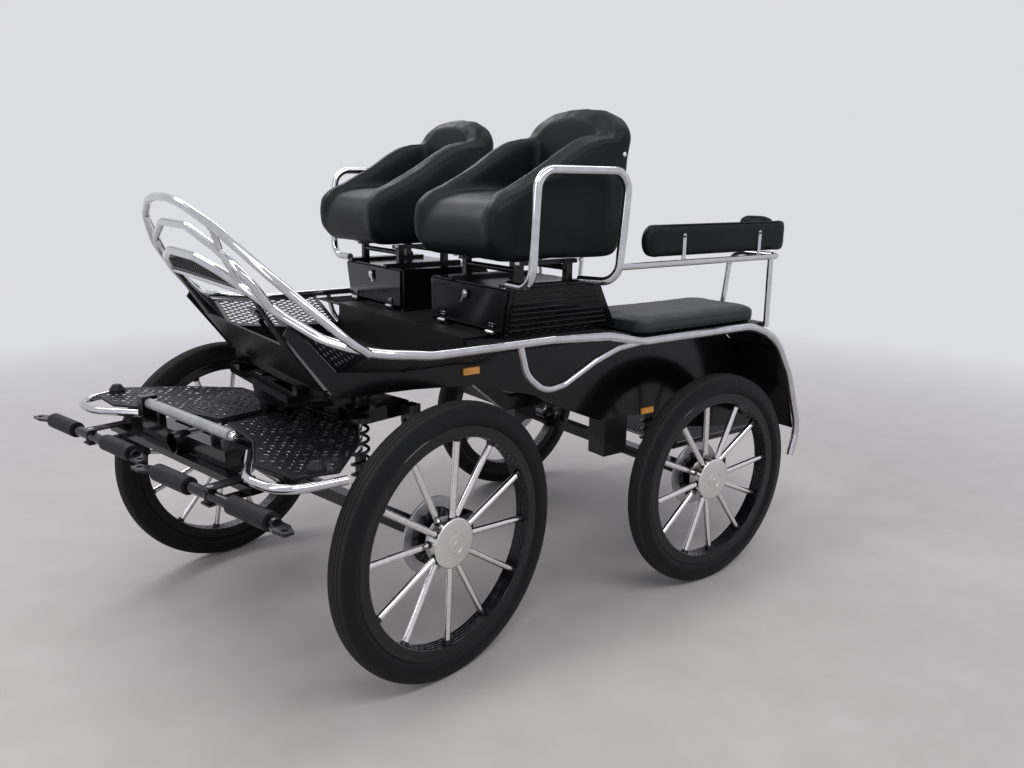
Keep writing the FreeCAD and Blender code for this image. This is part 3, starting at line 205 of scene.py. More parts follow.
# Columns: lamp, where it hangs, its length and width, watts.
for name, place, size, watts in (("lights_left", (0.5, 3.0, 3.6), (4.0, 0.9), 60),
                                 ("lights_right", (0.5, -3.0, 3.6), (4.0, 0.9), 55),
                                 ("lights_middle", (0.0, 0.3, 3.8), (4.6, 0.5), 40),
                                 ("lights_front", (3.6, 0.5, 3.4), (0.9, 4.0), 40)):
    lamp = bpy.data.lights.new(name, "AREA")
    lamp.shape = "RECTANGLE"
    lamp.size, lamp.size_y = size
    lamp.energy = watts
    lamp_object = bpy.data.objects.new(name, lamp)
    bpy.context.scene.collection.objects.link(lamp_object)
    lamp_object.location = place
    aim = AIM - lamp_object.location
    lamp_object.rotation_euler = aim.to_track_quat("-Z", "Y").to_euler()
bpy.context.scene.view_settings.view_transform = "Standard"


# ---------------------------------------------------------------- tyres
# Solid moulded rubber, stretched over each steel rim. Four fine grooves run round the crown, and
# the tread is worn grey where it rolls.
class Work:
    """The corners and faces of a piece while it is being made."""

    def __init__(self):
        self.points = []
        self.faces = []

    def add(self, points, faces, place=None):
        start = len(self.points)
        self.points += [place @ Vector(point) if place else Vector(point) for point in points]
        self.faces += [tuple(start + index for index in face) for face in faces]
        return self

    def take(self, mesh, place=None):
        """What another mesh holds."""
        return self.add([vertex.co for vertex in mesh.vertices],
                        [tuple(face.vertices) for face in mesh.polygons], place)

    def ring(self, section, steps, place=None):
        """A closed section of (radius, across) turned about the Y axis."""
        count = len(section)
        points = []
        for step in range(steps):
            angle = 2 * math.pi * step / steps
            points += [(r * math.cos(angle), across, r * math.sin(angle)) for r, across in section]
        faces = []
        for step in range(steps):
            here, there = step * count, (step + 1) % steps * count
            for i in range(count):
                j = (i + 1) % count
                faces.append((here + i, there + i, there + j, here + j))
        return self.add(points, faces, place)

    def tube(self, path, radius, place=None, sides=16, tip=None):
        """A round bar along points, closed at its ends. tip is the radius at the last one."""
        path = [Vector(point) for point in path]
        tip = radius if tip is None else tip
        along = (path[1] - path[0]).normalized()
        across = along.orthogonal().normalized()
        points = []
        for i, point in enumerate(path):
            before = path[max(i - 1, 0)]
            after = path[min(i + 1, len(path) - 1)]
            heading = (after - before).normalized()
            across = (across - heading * across.dot(heading)).normalized()
            other = heading.cross(across)
            size = radius + (tip - radius) * i / (len(path) - 1)
            for k in range(sides):
                angle = 2 * math.pi * k / sides
                points.append(point + (across * math.cos(angle) + other * math.sin(angle)) * size)
        faces = [tuple(range(sides))[::-1],
                 tuple(range(len(points) - sides, len(points)))]
        for i in range(len(path) - 1):
            for k in range(sides):
                a, b = i * sides + k, i * sides + (k + 1) % sides
                faces.append((a, b, b + sides, a + sides))
        return self.add(points, faces, place)

    def block(self, low, high, place=None):
        (x0, y0, z0), (x1, y1, z1) = low, high
        points = [(x, y, z) for z in (z0, z1) for y in (y0, y1) for x in (x0, x1)]
        faces = [(0, 2, 3, 1), (4, 5, 7, 6), (0, 1, 5, 4), (2, 6, 7, 3), (0, 4, 6, 2),
                 (1, 3, 7, 5)]
        return self.add(points, faces, place)

    def done(self, name, finish, body, slot, crease=35, bevel=0):
        """The piece itself, at its place, on the body that carries it."""
        mesh = bpy.data.meshes.new(name)
        mesh.from_pydata(self.points, [], self.faces)
        shape = bmesh.new()
        shape.from_mesh(mesh)
        bmesh.ops.remove_doubles(shape, verts=shape.verts, dist=0.00001)
        bmesh.ops.recalc_face_normals(shape, faces=shape.faces)
        for face in shape.faces:
            face.smooth = True
        shape.to_mesh(mesh)
        shape.free()
        mesh.set_sharp_from_angle(angle=math.radians(crease))
        mesh.materials.append(finish.material)
        piece = bpy.data.objects.new(name, mesh)
        bpy.context.scene.collection.objects.link(piece)
        if bevel:
            edges = piece.modifiers.new("bevel", "BEVEL")
            edges.width = bevel
            edges.segments = 2
            edges.limit_method = "ANGLE"
            edges.angle_limit = math.radians(40)
        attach(piece, body)
        return piece


def wheel_place(name):
    """A wheel's own axes: x ahead, y out along the axle, z up."""
    joint = joints[name + "_wheel_spin"]
    out = Vector(joint["axis"]) * (1 if name.endswith("left") else -1)
    across = out.cross(Vector((0, 0, 1)))
    turned = Matrix((across, out, Vector((0, 0, 1)))).transposed().to_4x4()
    return Matrix.Translation(joint["pos_m"]) @ turned


# Columns: wheel, outside radius, how far it has rolled in degrees.
WHEELS = (("front_left", 0.440, 4.3), ("front_right", 0.440, 11.1),
          ("rear_left", 0.410, 23.9), ("rear_right", 0.410, 0.0))
WHEEL_STEPS = 144
TYRE_DEPTH = 0.075
CROWN = 0.070
GROOVES = (0.0065, 0.0185)
GROOVE_WIDE = 0.0026
GROOVE_DEEP = 0.0034
GROOVE_LIP = 0.0004
GROOVE_TAPER = 0.0002


def tyre_section(radius):
    """Half of the section from the bead to the crown, then the other half."""
    half = [(0.0, 0.020), (0.003, 0.0262), (0.008, 0.0300), (0.013, 0.0345), (0.020, 0.0378),
            (0.027, 0.0388), (0.034, 0.0376), (0.042, 0.0358), (0.050, 0.0338), (0.058, 0.0315),
            (0.0645, 0.0290), (0.0672, 0.0278)]
    half = [(radius - TYRE_DEPTH + rise, across) for rise, across in half]

    def tread(across, drop=0.0):
        return (radius - across * across / (2 * CROWN) - drop, across)

    half += [tread(0.0250), tread(0.0215)]
    for groove in reversed(GROOVES):
        lip, foot = GROOVE_WIDE / 2 + GROOVE_LIP, GROOVE_WIDE / 2 - GROOVE_TAPER
        for across, drop in ((lip, 0), (foot, GROOVE_DEEP), (-foot, GROOVE_DEEP), (-lip, 0)):
            half.append(tread(groove + across, drop))
    return half + [(r, -across) for r, across in reversed(half)]


tyre_rubber = Finish("tyre_rubber", (0.0058, 0.0062, 0.0068), 0.5, gloss=0.16)
worn = tyre_rubber.add("Attribute", {"attribute_name": "tread"}, out=2)
scuffs = tyre_rubber.noise(38, 5)
dusty = worn * (scuffs * 0.7 + 0.45)
tyre_rubber.feed("Base Color", tyre_rubber.ramp(dusty, (0.0, (0.0058, 0.0062, 0.0068)),
                                                (1.0, (0.026, 0.025, 0.024))))
tyre_rubber.feed("Roughness", dusty * 0.3 + (scuffs * 0.16 + 0.42))
tyre_rubber.bump(tyre_rubber.noise(420, 3), 0.18, 0.0006)
WEAR_START = 0.012
WEAR_FULL = 0.006
for name, radius, _ in WHEELS:
    tyre = Work().ring(tyre_section(radius), WHEEL_STEPS, wheel_place(name))
    tyre = tyre.done(name + "_rubber", tyre_rubber, name + "_wheel", "tyre", crease=50)
    centre = Vector(joints[name + "_wheel_spin"]["pos_m"])
    axle = Vector(joints[name + "_wheel_spin"]["axis"])
    wear = tyre.data.attributes.new("tread", "FLOAT", "POINT")
    for i, vertex in enumerate(tyre.data.vertices):
        arm = vertex.co - centre
        arm -= axle * arm.dot(axle)
        wear.data[i].value = min(max((arm.length - radius + WEAR_START) / WEAR_FULL, 0), 1)
    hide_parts(name + "_tyre")


# ---------------------------------------------------------------- rims
# Deep rolled steel channels in black gloss, with swaged rings and rows of small cold-formed pips
# round the inner face, and a cup where each spoke is screwed in.
class Pattern:
    """A node tree that repeats a small shape. Its sizes are the tree's named inputs."""

    def __init__(self, name, **sizes):
        self.tree = bpy.data.node_groups.new(name, "GeometryNodeTree")
        face = self.tree.interface
        face.new_socket("Geometry", in_out="OUTPUT", socket_type="NodeSocketGeometry")
        face.new_socket("Geometry", in_out="INPUT", socket_type="NodeSocketGeometry")
        for label, kind in sizes.items():
            face.new_socket(label, in_out="INPUT", socket_type="NodeSocket" + kind)
        face.new_socket("finish", in_out="INPUT", socket_type="NodeSocketMaterial")
        self.start = self.tree.nodes.new("NodeGroupInput")

    def size(self, label):
        return self.start.outputs[label]

    def add(self, kind, settings=None, out=0, **values):
        return add_node(self.tree, kind, settings, **values).outputs[out]

    def maths(self, operation, first, second=0.0):
        return self.add("ShaderNodeMath", {"operation": operation}, i0=first, i1=second)

    def close(self, shape):
        """Ends the tree: real geometry, with its finish."""
        real = self.add("GeometryNodeRealizeInstances", Geometry=shape)
        dressed = self.add("GeometryNodeSetMaterial", Geometry=real, Material=self.size("finish"))
        end = self.tree.nodes.new("NodeGroupOutput")
        self.tree.links.new(dressed, end.inputs[0])
        return self

    def grow(self, base, finish, **sizes):
        """The plain mesh that the tree makes from a base mesh."""
        holder = bpy.data.objects.new("pattern_base", base)
        bpy.context.scene.collection.objects.link(holder)
        modifier = holder.modifiers.new("pattern", "NODES")
        modifier.node_group = self.tree
        given = dict(sizes, finish=finish.material)
        for item in self.tree.interface.items_tree:
            if item.item_type == "SOCKET" and item.in_out == "INPUT" and item.name in given:
                modifier[item.identifier] = given[item.name]
        depsgraph = bpy.context.evaluated_depsgraph_get()
        mesh = bpy.data.meshes.new_from_object(holder.evaluated_get(depsgraph))
        holder.modifiers.remove(modifier)
        bpy.data.objects.remove(holder)
        return mesh


def ring_pattern():
    """Small heads spaced round a circle: standing in along the radius, or out along the axle."""
    pattern = Pattern("ring_of_heads", count="Int", radius="Float", across="Float", head="Float",
                      tall="Float", sides="Int", inward="Float")
    circle = pattern.add("GeometryNodeMeshCircle", Vertices=pattern.size("count"),
                         Radius=pattern.size("radius"))
    place = pattern.add("GeometryNodeInputPosition")
    radial = pattern.add("ShaderNodeVectorMath", {"operation": "SCALE"}, i0=place,
                         Scale=pattern.size("inward"))
    upright = pattern.add("ShaderNodeCombineXYZ",
                          Z=pattern.maths("SUBTRACT", 1.0, pattern.size("inward")))
    heading = pattern.add("ShaderNodeVectorMath", {"operation": "SUBTRACT"}, i0=upright, i1=radial)
    facing = pattern.add("FunctionNodeAlignRotationToVector", Vector=heading)
    head = pattern.add("GeometryNodeMeshCone", Vertices=pattern.size("sides"),
                       Radius_Bottom=pattern.size("head"), Depth=pattern.size("tall"),
                       Radius_Top=pattern.maths("MULTIPLY", pattern.size("head"), 0.72))
    heads = pattern.add("GeometryNodeInstanceOnPoints", Points=circle, Instance=head,
                        Rotation=facing)
    shift = pattern.add("ShaderNodeCombineXYZ", Z=pattern.size("across"))
    moved = pattern.add("GeometryNodeTransform", Geometry=heads, Translation=shift)
    return pattern.close(moved)


heads_round = ring_pattern()
AXLE_UP = Matrix.Rotation(math.radians(-90), 4, "X")
nothing = bpy.data.meshes.new("nothing")
RIM_DEPTH = 0.033
RIM_FACE = 0.047
FACE_STEPS = 28
SWAGE = 0.0013
SWAGES = 4
# Columns: how far across the rim a row of pips stands, and how many it has.
PIP_ROWS = ((0.0125, 84), (-0.0125, 84), (0.0, 60))
PIP_R = 0.0032
PIP_TALL = 0.0022


def rim_section(radius):
    bead = radius - TYRE_DEPTH
    inner = bead - RIM_DEPTH
    side = [(bead + 0.0005, 0.0245), (bead + 0.0040, 0.0262), (bead + 0.0046, 0.0275),
            (bead + 0.0030, 0.0288), (bead - 0.006, 0.0290), (bead - 0.010, 0.0284),
            (bead - 0.020, 0.0284), (inner + 0.006, 0.0290), (inner + 0.0015, 0.0280),
            (inner, 0.0255)]
    across = [RIM_FACE / 2 - RIM_FACE * i / FACE_STEPS for i in range(FACE_STEPS + 1)]
    face = [(inner + SWAGE * (1 - math.cos(w / RIM_FACE * 2 * SWAGES * math.pi)) / 2, w)
            for w in across]
    return side + face + [(r, -w) for r, w in reversed(side)] + [(bead - 0.004, 0.0)]


rim_black = Finish("rim_black", (0.004, 0.004, 0.005), 0.12, coat=0.2, gloss=0.25)
rim_black.feed("Roughness", rim_black.noise(24, 4) * 0.10 + 0.06)
for name, radius, _ in WHEELS:
    place = wheel_place(name)
    inner = radius - TYRE_DEPTH - RIM_DEPTH
    rim = Work().ring(rim_section(radius), WHEEL_STEPS, place)
    for across, count in PIP_ROWS:
        pips = heads_round.grow(nothing, rim_black, count=count, radius=inner + 0.0004,
                                across=across, head=PIP_R, tall=PIP_TALL, sides=8, inward=1.0)
        rim.take(pips, place @ AXLE_UP)
    rim = rim.done(name + "_channel", rim_black, name + "_wheel", "black_paint")
    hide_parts(name + "_rim")

# ---------------------------------------------------------------- spokes
# Twelve polished steel tubes a wheel, set in and out by turns at the hub, each screwed into a
# black cup on the rim.
SPOKES = 12
SPOKE_R = 0.011
SPOKE_LEAN = 0.022
SPOKE_FOOT = 0.068
SPOKE_FOOT_MOST = 0.002
# A rim cup's and a hub collar's length, and how far each stands out over the spoke.
CUP = (0.013, 0.0045)
COLLAR = (0.012, 0.0022)
CUP_MOUTH = SPOKE_R + 0.0012
spoke_steel = Finish("spoke_steel", (0.80, 0.79, 0.78), 0.14, metallic=1.0)
grain = spoke_steel.noise(70, 5)
spoke_steel.feed("Roughness", grain * 0.16 + 0.08)
spoke_steel.feed("Base Color", spoke_steel.ramp(grain, (0.3, (0.70, 0.69, 0.68)),
                                                (0.7, (0.84, 0.83, 0.82))))
for name, radius, rolled in WHEELS:
    side = 1 if name.endswith("left") else -1
    inner = radius - TYRE_DEPTH - RIM_DEPTH
    spokes, cups = Work(), Work()
    for i in range(SPOKES):
        lean = SPOKE_LEAN if i % 2 else -SPOKE_LEAN
        turned = Matrix.Rotation(math.radians(360 / SPOKES * i - side * rolled), 4, "Y")
        place = wheel_place(name) @ turned
        foot = Vector((SPOKE_FOOT, min(lean, SPOKE_FOOT_MOST), 0))
        head = Vector((inner + 0.0015, lean * 0.3, 0))
        spokes.tube([foot, head], SPOKE_R, place, 20)
        run = (foot - head).normalized()
        cups.tube([head, head + run * 0.006, head + run * CUP[0]], SPOKE_R + CUP[1], place, 16,
                  tip=CUP_MOUTH)
        cups.tube([foot, foot - run * COLLAR[0]], SPOKE_R + COLLAR[1], place, 16, tip=CUP_MOUTH)
    bars = spokes.done(name + "_spoke_tubes", spoke_steel, name + "_wheel", "polished_steel")
    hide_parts(name + "_spokes")
    cups.done(name + "_spoke_cups", rim_black, name + "_wheel", "black_paint")

# ---------------------------------------------------------------- hubs and brake discs
# A turned aluminium drum takes the spokes, under a polished cap with a stepped ring and a small
# boss, screwed on with ten countersunk screws. A steel brake disc sits behind on a black bell.
HUB = [(0.0204, -0.094), (0.036, -0.094), (0.038, -0.092), (0.038, -0.082), (0.044, -0.070),
       (0.045, -0.039), (0.070, -0.037), (0.072, -0.035), (0.072, 0.0145), (0.077, 0.0150),
       (0.0790, 0.0158), (0.0800, 0.0172), (0.0800, 0.0195), (0.0785, 0.0212), (0.0765, 0.0222),
       (0.0740, 0.0226), (0.0505, 0.0246), (0.0340, 0.0262), (0.0330, 0.0262), (0.0322, 0.0248),
       (0.0306, 0.0248), (0.0298, 0.0266), (0.0285, 0.0274), (0.0105, 0.0280), (0.0092, 0.0282),
       (0.0084, 0.0296), (0.0070, 0.0300), (0.0, 0.0300), (0.0, 0.0165), (0.0204, 0.0165)]
BELL = [(0.0385, -0.081), (0.090, -0.081), (0.092, -0.079), (0.092, -0.070), (0.088, -0.066),
        (0.046, -0.058), (0.0385, -0.058)]
DISC = [(0.086, -0.080), (0.1240, -0.080), (0.125, -0.079), (0.125, -0.073), (0.1240, -0.072),
        (0.086, -0.072)]
hub_alloy = Finish("hub_alloy", (0.72, 0.71, 0.70), 0.25, metallic=1.0)
hub_alloy.feed("Roughness", hub_alloy.noise(40, 3) * 0.08 + 0.20)
disc_steel = Finish("disc_steel", (0.45, 0.45, 0.46), 0.35, metallic=1.0)
disc_steel.feed("Roughness", disc_steel.noise(90, 5) * 0.3 + 0.25)
disc_steel.bump(disc_steel.noise(500, 2), 0.1, 0.0003)
screw_steel = Finish("screw_steel", (0.66, 0.66, 0.67), 0.22, metallic=1.0)
screw_steel.feed("Roughness", screw_steel.noise(300, 3) * 0.2 + 0.12)
# Columns: the ring's radius, how far across it stands, screws, a head's radius and height.
SCREW_RINGS = ((0.0665, 0.0236, 10, 0.0034, 0.0010), (0.075, -0.0695, 8, 0.0060, 0.0070))
for name, *_ in WHEELS:
    place = wheel_place(name)
    hub = Work().ring(HUB, 96, place).done(name + "_drum", hub_alloy, name + "_wheel",
                                           "polished_steel", crease=25)
    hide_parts(name + "_hub")
    screws = Work()
    for radius_at, across, count, head, tall in SCREW_RINGS:
        ring = heads_round.grow(nothing, screw_steel, count=count, radius=radius_at,
                                across=across - tall / 2, head=head, tall=tall, sides=12,
                                inward=0.0)
        screws.take(ring, place @ AXLE_UP)
    screws.done(name + "_hub_screws", screw_steel, name + "_wheel", "polished_steel")
    Work().ring(BELL, 72, place).done(name + "_disc_bell", rim_black, name + "_wheel",
                                      "black_paint")
    disc = Work().ring(DISC, 96, place)
    disc.done(name + "_brake_disc", disc_steel, name + "_wheel", "polished_steel")

# ---------------------------------------------------------------- painted steelwork
# Welded square tube and folded sheet under black gloss powder coat: chassis, axles, brackets and
# panels. The floor, the bench decks and the toe board have a flatter, rougher paint.
black = Finish("black_gloss", (0.004, 0.004, 0.0045), 0.15, coat=0.12, gloss=0.25)
peel = black.noise(260, 2)
black.bump(peel, 0.05, 0.0005)
black.feed("Roughness", black.noise(9, 5) * 0.18 + 0.07)
flat_black = Finish("floor_paint", (0.007, 0.007, 0.007), 0.42, gloss=0.22)
flat_black.feed("Roughness", flat_black.noise(14, 6) * 0.3 + 0.30)
flat_black.bump(flat_black.noise(520, 3), 0.25, 0.0005)


def dress(node, finish):
    """Gives a CAD node its finish."""
    slots = nodes[node].data.materials
    slots.clear()
    slots.append(finish.material)


for entry in frame["record"]["subparts"]:
    if entry["material_slot"] == "black_paint":
        dress(entry["node"], black)
for node in ("floor_pan", "bench_decks", "toe_board"):
    dress(node, flat_black)

# ---------------------------------------------------------------- side rails and curved trim
# One polished stainless tube each side, bent from behind the rear wheel over the decks and round
# the dash, with a second tube in an S below it. Routes are from the datum, x forward, y left.
BODY = Matrix.Translation(DATUM)
stainless = Finish("polished_stainless", (0.80, 0.80, 0.81), 0.08, metallic=1.0)
haze = stainless.noise(26, 5)
stainless.feed("Roughness", haze * 0.12 + 0.03)
stainless.feed("Base Color", stainless.ramp(haze, (0.3, (0.52, 0.52, 0.535)),
                                            (0.7, (0.63, 0.63, 0.645))))
RAIL_R = 0.014
RAIL_Y = 0.700
RAIL_BEND = 0.26
TRIM_R = 0.011
TRIM_BEND = 0.09
RAIL_SIDE = [(-0.448, 0.428), (-0.481, 0.540), (-0.394, 0.778), (-0.290, 0.940),
             (-0.140, 0.994), (0.430, 0.994), (0.580, 1.027), (0.820, 1.041), (1.240, 1.040),
             (1.440, 1.066)]
LOW_BOW = [(1.516, 0.580, 1.092), (1.589, 0.463, 1.153), (1.650, 0.395, 1.216),
           (1.690, 0.290, 1.262), (1.714, 0.130, 1.293)]
TRIM = [(0.940, 1.036), (0.915, 0.940), (0.845, 0.880), (0.765, 0.892), (0.640, 0.952),
        (0.540, 0.984), (0.430, 0.994)]


def bent(corners, bend, arc_steps=10):
    """Points along straight runs and the arcs between them, as a tube is bent."""
    corners = [Vector(corner) for corner in corners]
    path = [corners[0]]
    for before, corner, after in zip(corners, corners[1:], corners[2:]):
        back = (before - corner).normalized()
        ahead_way = (after - corner).normalized()
        half_turn = (math.pi - back.angle(ahead_way)) / 2
        room = 0.48 * min((before - corner).length, (after - corner).length)
        reach = min(bend * math.tan(half_turn), room)
        arc_r = reach / math.tan(half_turn)
        centre = corner + (back + ahead_way).normalized() * (arc_r / math.cos(half_turn))
        first = corner + back * reach - centre
        last = corner + ahead_way * reach - centre
        turn_axis = first.cross(last).normalized()
        for i in range(arc_steps + 1):
            turned = Matrix.Rotation(2 * half_turn * i / arc_steps, 3, turn_axis)
            path.append(centre + turned @ first)
    return path + [corners[-1]]


def on_side(path, sign):
    """A path on the left, or with a sign of -1 its mirror image on the right."""
    return [(x, sign * y, z) for x, y, z in path]


def both(half):
    """Half a path, then its mirror image run back."""
    return half + on_side(half, -1)[::-1]


rail_path = bent(both([(x, RAIL_Y, z) for x, z in RAIL_SIDE] + LOW_BOW), RAIL_BEND)
rails = Work().tube(rail_path, RAIL_R, BODY, 20)
for sign in (1, -1):
    rails.tube(bent([(x, sign * RAIL_Y, z) for x, z in TRIM], TRIM_BEND), TRIM_R, BODY, 18)
rails = rails.done("side_rails", stainless, "carriage", "polished_steel", crease=60)
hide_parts("main_rail")

# ---------------------------------------------------------------- dash bows
# Two more stainless bows rise above the rails' own, welded to it at their feet and braced by
# short struts, with a bar across under the mesh.
BOW_R = 0.0125
OUTER_BEND = 0.40
MIDDLE_BEND = 0.20
STRUT_R = 0.009
OUTER_BOW = [(1.440, 0.700, 1.066), (1.500, 0.708, 1.106), (1.590, 0.655, 1.200),
             (1.660, 0.560, 1.284), (1.727, 0.368, 1.393), (1.757, 0.180, 1.448),
             (1.764, 0.060, 1.461)]
MIDDLE_BOW = [(1.603, 0.446, 1.164), (1.676, 0.438, 1.270), (1.708, 0.325, 1.328),
              (1.732, 0.130, 1.383)]
STRUT = [(1.727, 0.362, 1.393), (1.699, 0.356, 1.306), (1.662, 0.374, 1.226)]
CROSS_BAR = (1.641, 0.400, 1.204)


def nearest(path, point):
    """The point of a path that lies nearest to a place."""
    return min((Vector(spot) for spot in path), key=lambda spot: (spot - Vector(point)).length)


outer_path = bent(both(OUTER_BOW), OUTER_BEND)
middle_path = bent(both(MIDDLE_BOW), MIDDLE_BEND)
bows = Work().tube(outer_path, BOW_R, BODY, 20).tube(middle_path, BOW_R, BODY, 20)
for sign in (1, -1):
    ends = [nearest(path, (x, sign * y, z))
            for path, (x, y, z) in zip((outer_path, middle_path, rail_path), STRUT)]
    bows.tube(ends, STRUT_R, BODY, 14)
    for end in ends:
        bows.tube([end, end + (ends[1] - end) * 0.12], BOW_R, BODY, 14)
x, y, z = CROSS_BAR
bows.tube([(x, -y, z), (x, y, z)], STRUT_R, BODY, 14)
bows = bows.done("dash_bow_tubes", stainless, "carriage", "polished_steel", crease=60)
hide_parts("dash_bows")

# ---------------------------------------------------------------- arm loops and rest rails
# Stainless hoops stand on the lockers outside the seats. A thinner rail runs back from each to a
# corner post, and straps carry the long back pads.
ARM = [(0.890, 0.567, 1.201), (0.901, 0.700, 1.201), (0.882, 0.700, 1.550), (0.518, 0.700, 1.550),
       (0.554, 0.700, 1.201), (0.605, 0.567, 1.201)]
REST = [(0.546, 0.700, 1.250), (-0.290, 0.700, 1.250), (-0.290, 0.454, 1.250),
        (-0.260, 0.444, 0.962)]
POST = [(-0.218, 0.700, 1.250), (-0.223, 0.700, 0.985)]
ARM_BEND = 0.062
REST_BEND = 0.060
REST_R = 0.011
FLANGE = [(-0.260, 0.444, 0.9815), (-0.260, 0.444, 0.9855)]
FLANGE_R = 0.024
STRAPS = (0.243, -0.156)
STRAP_HALF = 0.008
STRAP_Y = (0.6895, 0.6935)
STRAP_Z = (1.252, 1.340)
STRAP_SCREW_Z = 1.330
hoops, rests = Work(), Work()
for sign in (1, -1):
    hoops.tube(on_side(bent(ARM, ARM_BEND), sign), RAIL_R, BODY, 20)
    rests.tube(on_side(bent(REST, REST_BEND), sign), REST_R, BODY, 18)
    rests.tube(on_side(POST, sign), REST_R, BODY, 18)
    rests.tube(on_side(FLANGE, sign), FLANGE_R, BODY, 24)
    y0, y1 = sorted(sign * y for y in STRAP_Y)
    low, high = STRAP_Z
    for x in STRAPS:
        rests.block((x - STRAP_HALF, y0, low), (x + STRAP_HALF, y1, high), BODY)
        rests.tube([(x, y0, high), (x, y1, high)], STRAP_HALF, BODY, 20)
        rests.tube([(x, sign * 0.6925, STRAP_SCREW_Z), (x, sign * 0.6965, STRAP_SCREW_Z)], 0.0048,
                   BODY, 14, tip=0.0030)
hoops = hoops.done("arm_hoops", stainless, "carriage", "polished_steel", crease=60)
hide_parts("arm_loops")
rests = rests.done("rest_rail_tubes", stainless, "carriage", "polished_steel", crease=45)
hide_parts("rest_rails")

# ---------------------------------------------------------------- wheel bumpers
# A short stainless tube is bent round the front corner of each step plate and keeps the wheel off.
# It turns with the fore-carriage, whose own axes stand on the floor under the kingpin.
kingpin = joints["steering"]["pos_m"]
front_axis = Vector(joints["front_left_wheel_spin"]["axis"])
STEER = math.atan2(-front_axis.x, front_axis.y)
FORE = Matrix.Translation((kingpin[0], kingpin[1], 0)) @ Matrix.Rotation(STEER, 4, "Z")
BUMPER = [(0.448, 0.301, 0.747), (0.566, 0.483, 0.747), (0.556, 0.641, 0.747),
          (0.385, 0.681, 0.747)]
BUMPER_BEND = 0.110
BUMPER_R = 0.013
guards = Work()
for sign in (1, -1):
    guards.tube(on_side(bent(BUMPER, BUMPER_BEND), sign), BUMPER_R, FORE, 20)
guards = guards.done("bumper_tubes", stainless, "fore_carriage", "polished_steel", crease=60)
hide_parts("wheel_bumpers")


# ---------------------------------------------------------------- open mesh decks
# Expanded steel mesh: a slit sheet is pulled out into diamonds, then painted and welded into a
# border of flat bar. It makes the side decks, the footwell's sides, the dash and the platform.
def staggered(pattern, sizes, counts, steps):
    """Points in rows by turns: a grid, and the same grid moved by half a step both ways."""
    grid = pattern.add("GeometryNodeMeshGrid", Size_X=sizes[0], Size_Y=sizes[1],
                       Vertices_X=counts[0], Vertices_Y=counts[1])
    half_x, half_y = (pattern.maths("MULTIPLY", step, 0.5) for step in steps)
    half_step = pattern.add("ShaderNodeCombineXYZ", X=half_x, Y=half_y)
    shifted = pattern.add("GeometryNodeTransform", Geometry=grid, Translation=half_step)
    return pattern.add("GeometryNodeJoinGeometry", Geometry=[grid, shifted])


def inside(pattern, points):
    """The points within the base's outline, found by a ray from above each one."""
    place = pattern.add("GeometryNodeInputPosition")
    above = pattern.add("ShaderNodeVectorMath", {"operation": "ADD"}, i0=place, i1=(0, 0, 0.05))
    hit = pattern.add("GeometryNodeRaycast", Target_Geometry=pattern.size("Geometry"),
                      Source_Position=above, Ray_Direction=(0, 0, -1), Ray_Length=0.1)
    missed = pattern.add("FunctionNodeBooleanMath", {"operation": "NOT"}, i0=hit)
    return pattern.add("GeometryNodeDeleteGeometry", {"domain": "POINT"}, Geometry=points,
                       Selection=missed)


def mesh_pattern():
    """Crossed strands at each point of staggered rows, kept inside an outline."""
    pattern = Pattern("expanded_mesh", long_way="Float", short_way="Float", strand="Float",
                      thick="Float", lean="Float", wide="Float", tall="Float")
    steps = [pattern.size("long_way"), pattern.size("short_way")]
    whole = [pattern.maths("FLOOR", pattern.maths("DIVIDE", pattern.size(reach), step))
             for reach, step in zip(("wide", "tall"), steps)]
    sizes = [pattern.maths("MULTIPLY", count, step) for count, step in zip(whole, steps)]
    counts = [pattern.maths("ADD", count, 1.0) for count in whole]
    kept = inside(pattern, staggered(pattern, sizes, counts, steps))
    bar = pattern.add("GeometryNodeCurvePrimitiveQuadrilateral", Width=pattern.size("strand"),
                      Height=pattern.size("thick"))
    reach_x, reach_y = (pattern.maths("MULTIPLY", step, 0.26) for step in steps)
    strands = []
    for sign in (1.0, -1.0):
        end = pattern.add("ShaderNodeCombineXYZ", X=reach_x,
                          Y=pattern.maths("MULTIPLY", reach_y, sign))
        start = pattern.add("ShaderNodeVectorMath", {"operation": "SCALE"}, i0=end, Scale=-1.0)
        line = pattern.add("GeometryNodeCurvePrimitiveLine", Start=start, End=end)
        tilted = pattern.add("GeometryNodeSetCurveTilt", Curve=line, Tilt=pattern.size("lean"))
        strands.append(pattern.add("GeometryNodeCurveToMesh", Curve=tilted, Profile_Curve=bar,
                                   Fill_Caps=True))
    crossed = pattern.add("GeometryNodeJoinGeometry", Geometry=strands)
    return pattern.close(pattern.add("GeometryNodeInstanceOnPoints", Points=kept,
                                     Instance=crossed))


expanded = mesh_pattern()
mesh_paint = Finish("mesh_paint", (0.006, 0.006, 0.007), 0.35, gloss=0.16)
mesh_paint.feed("Roughness", mesh_paint.noise(60, 3) * 0.2 + 0.26)
BORDER_HALF = 0.0018


def inset(outline, margin):
    """A flat outline (counter-clockwise) with every side moved in."""
    moved = []
    count = len(outline)
    for i in range(count):
        before, corner, after = (Vector(outline[(i + k) % count]) for k in (-1, 0, 1))
        first, second = (corner - before).normalized(), (after - corner).normalized()
        normal_a, normal_b = Vector((-first.y, first.x)), Vector((-second.y, second.x))
        mid = (normal_a + normal_b).normalized()
        moved.append(corner + mid * (margin / max(mid.dot(normal_a), 0.4)))
    return moved


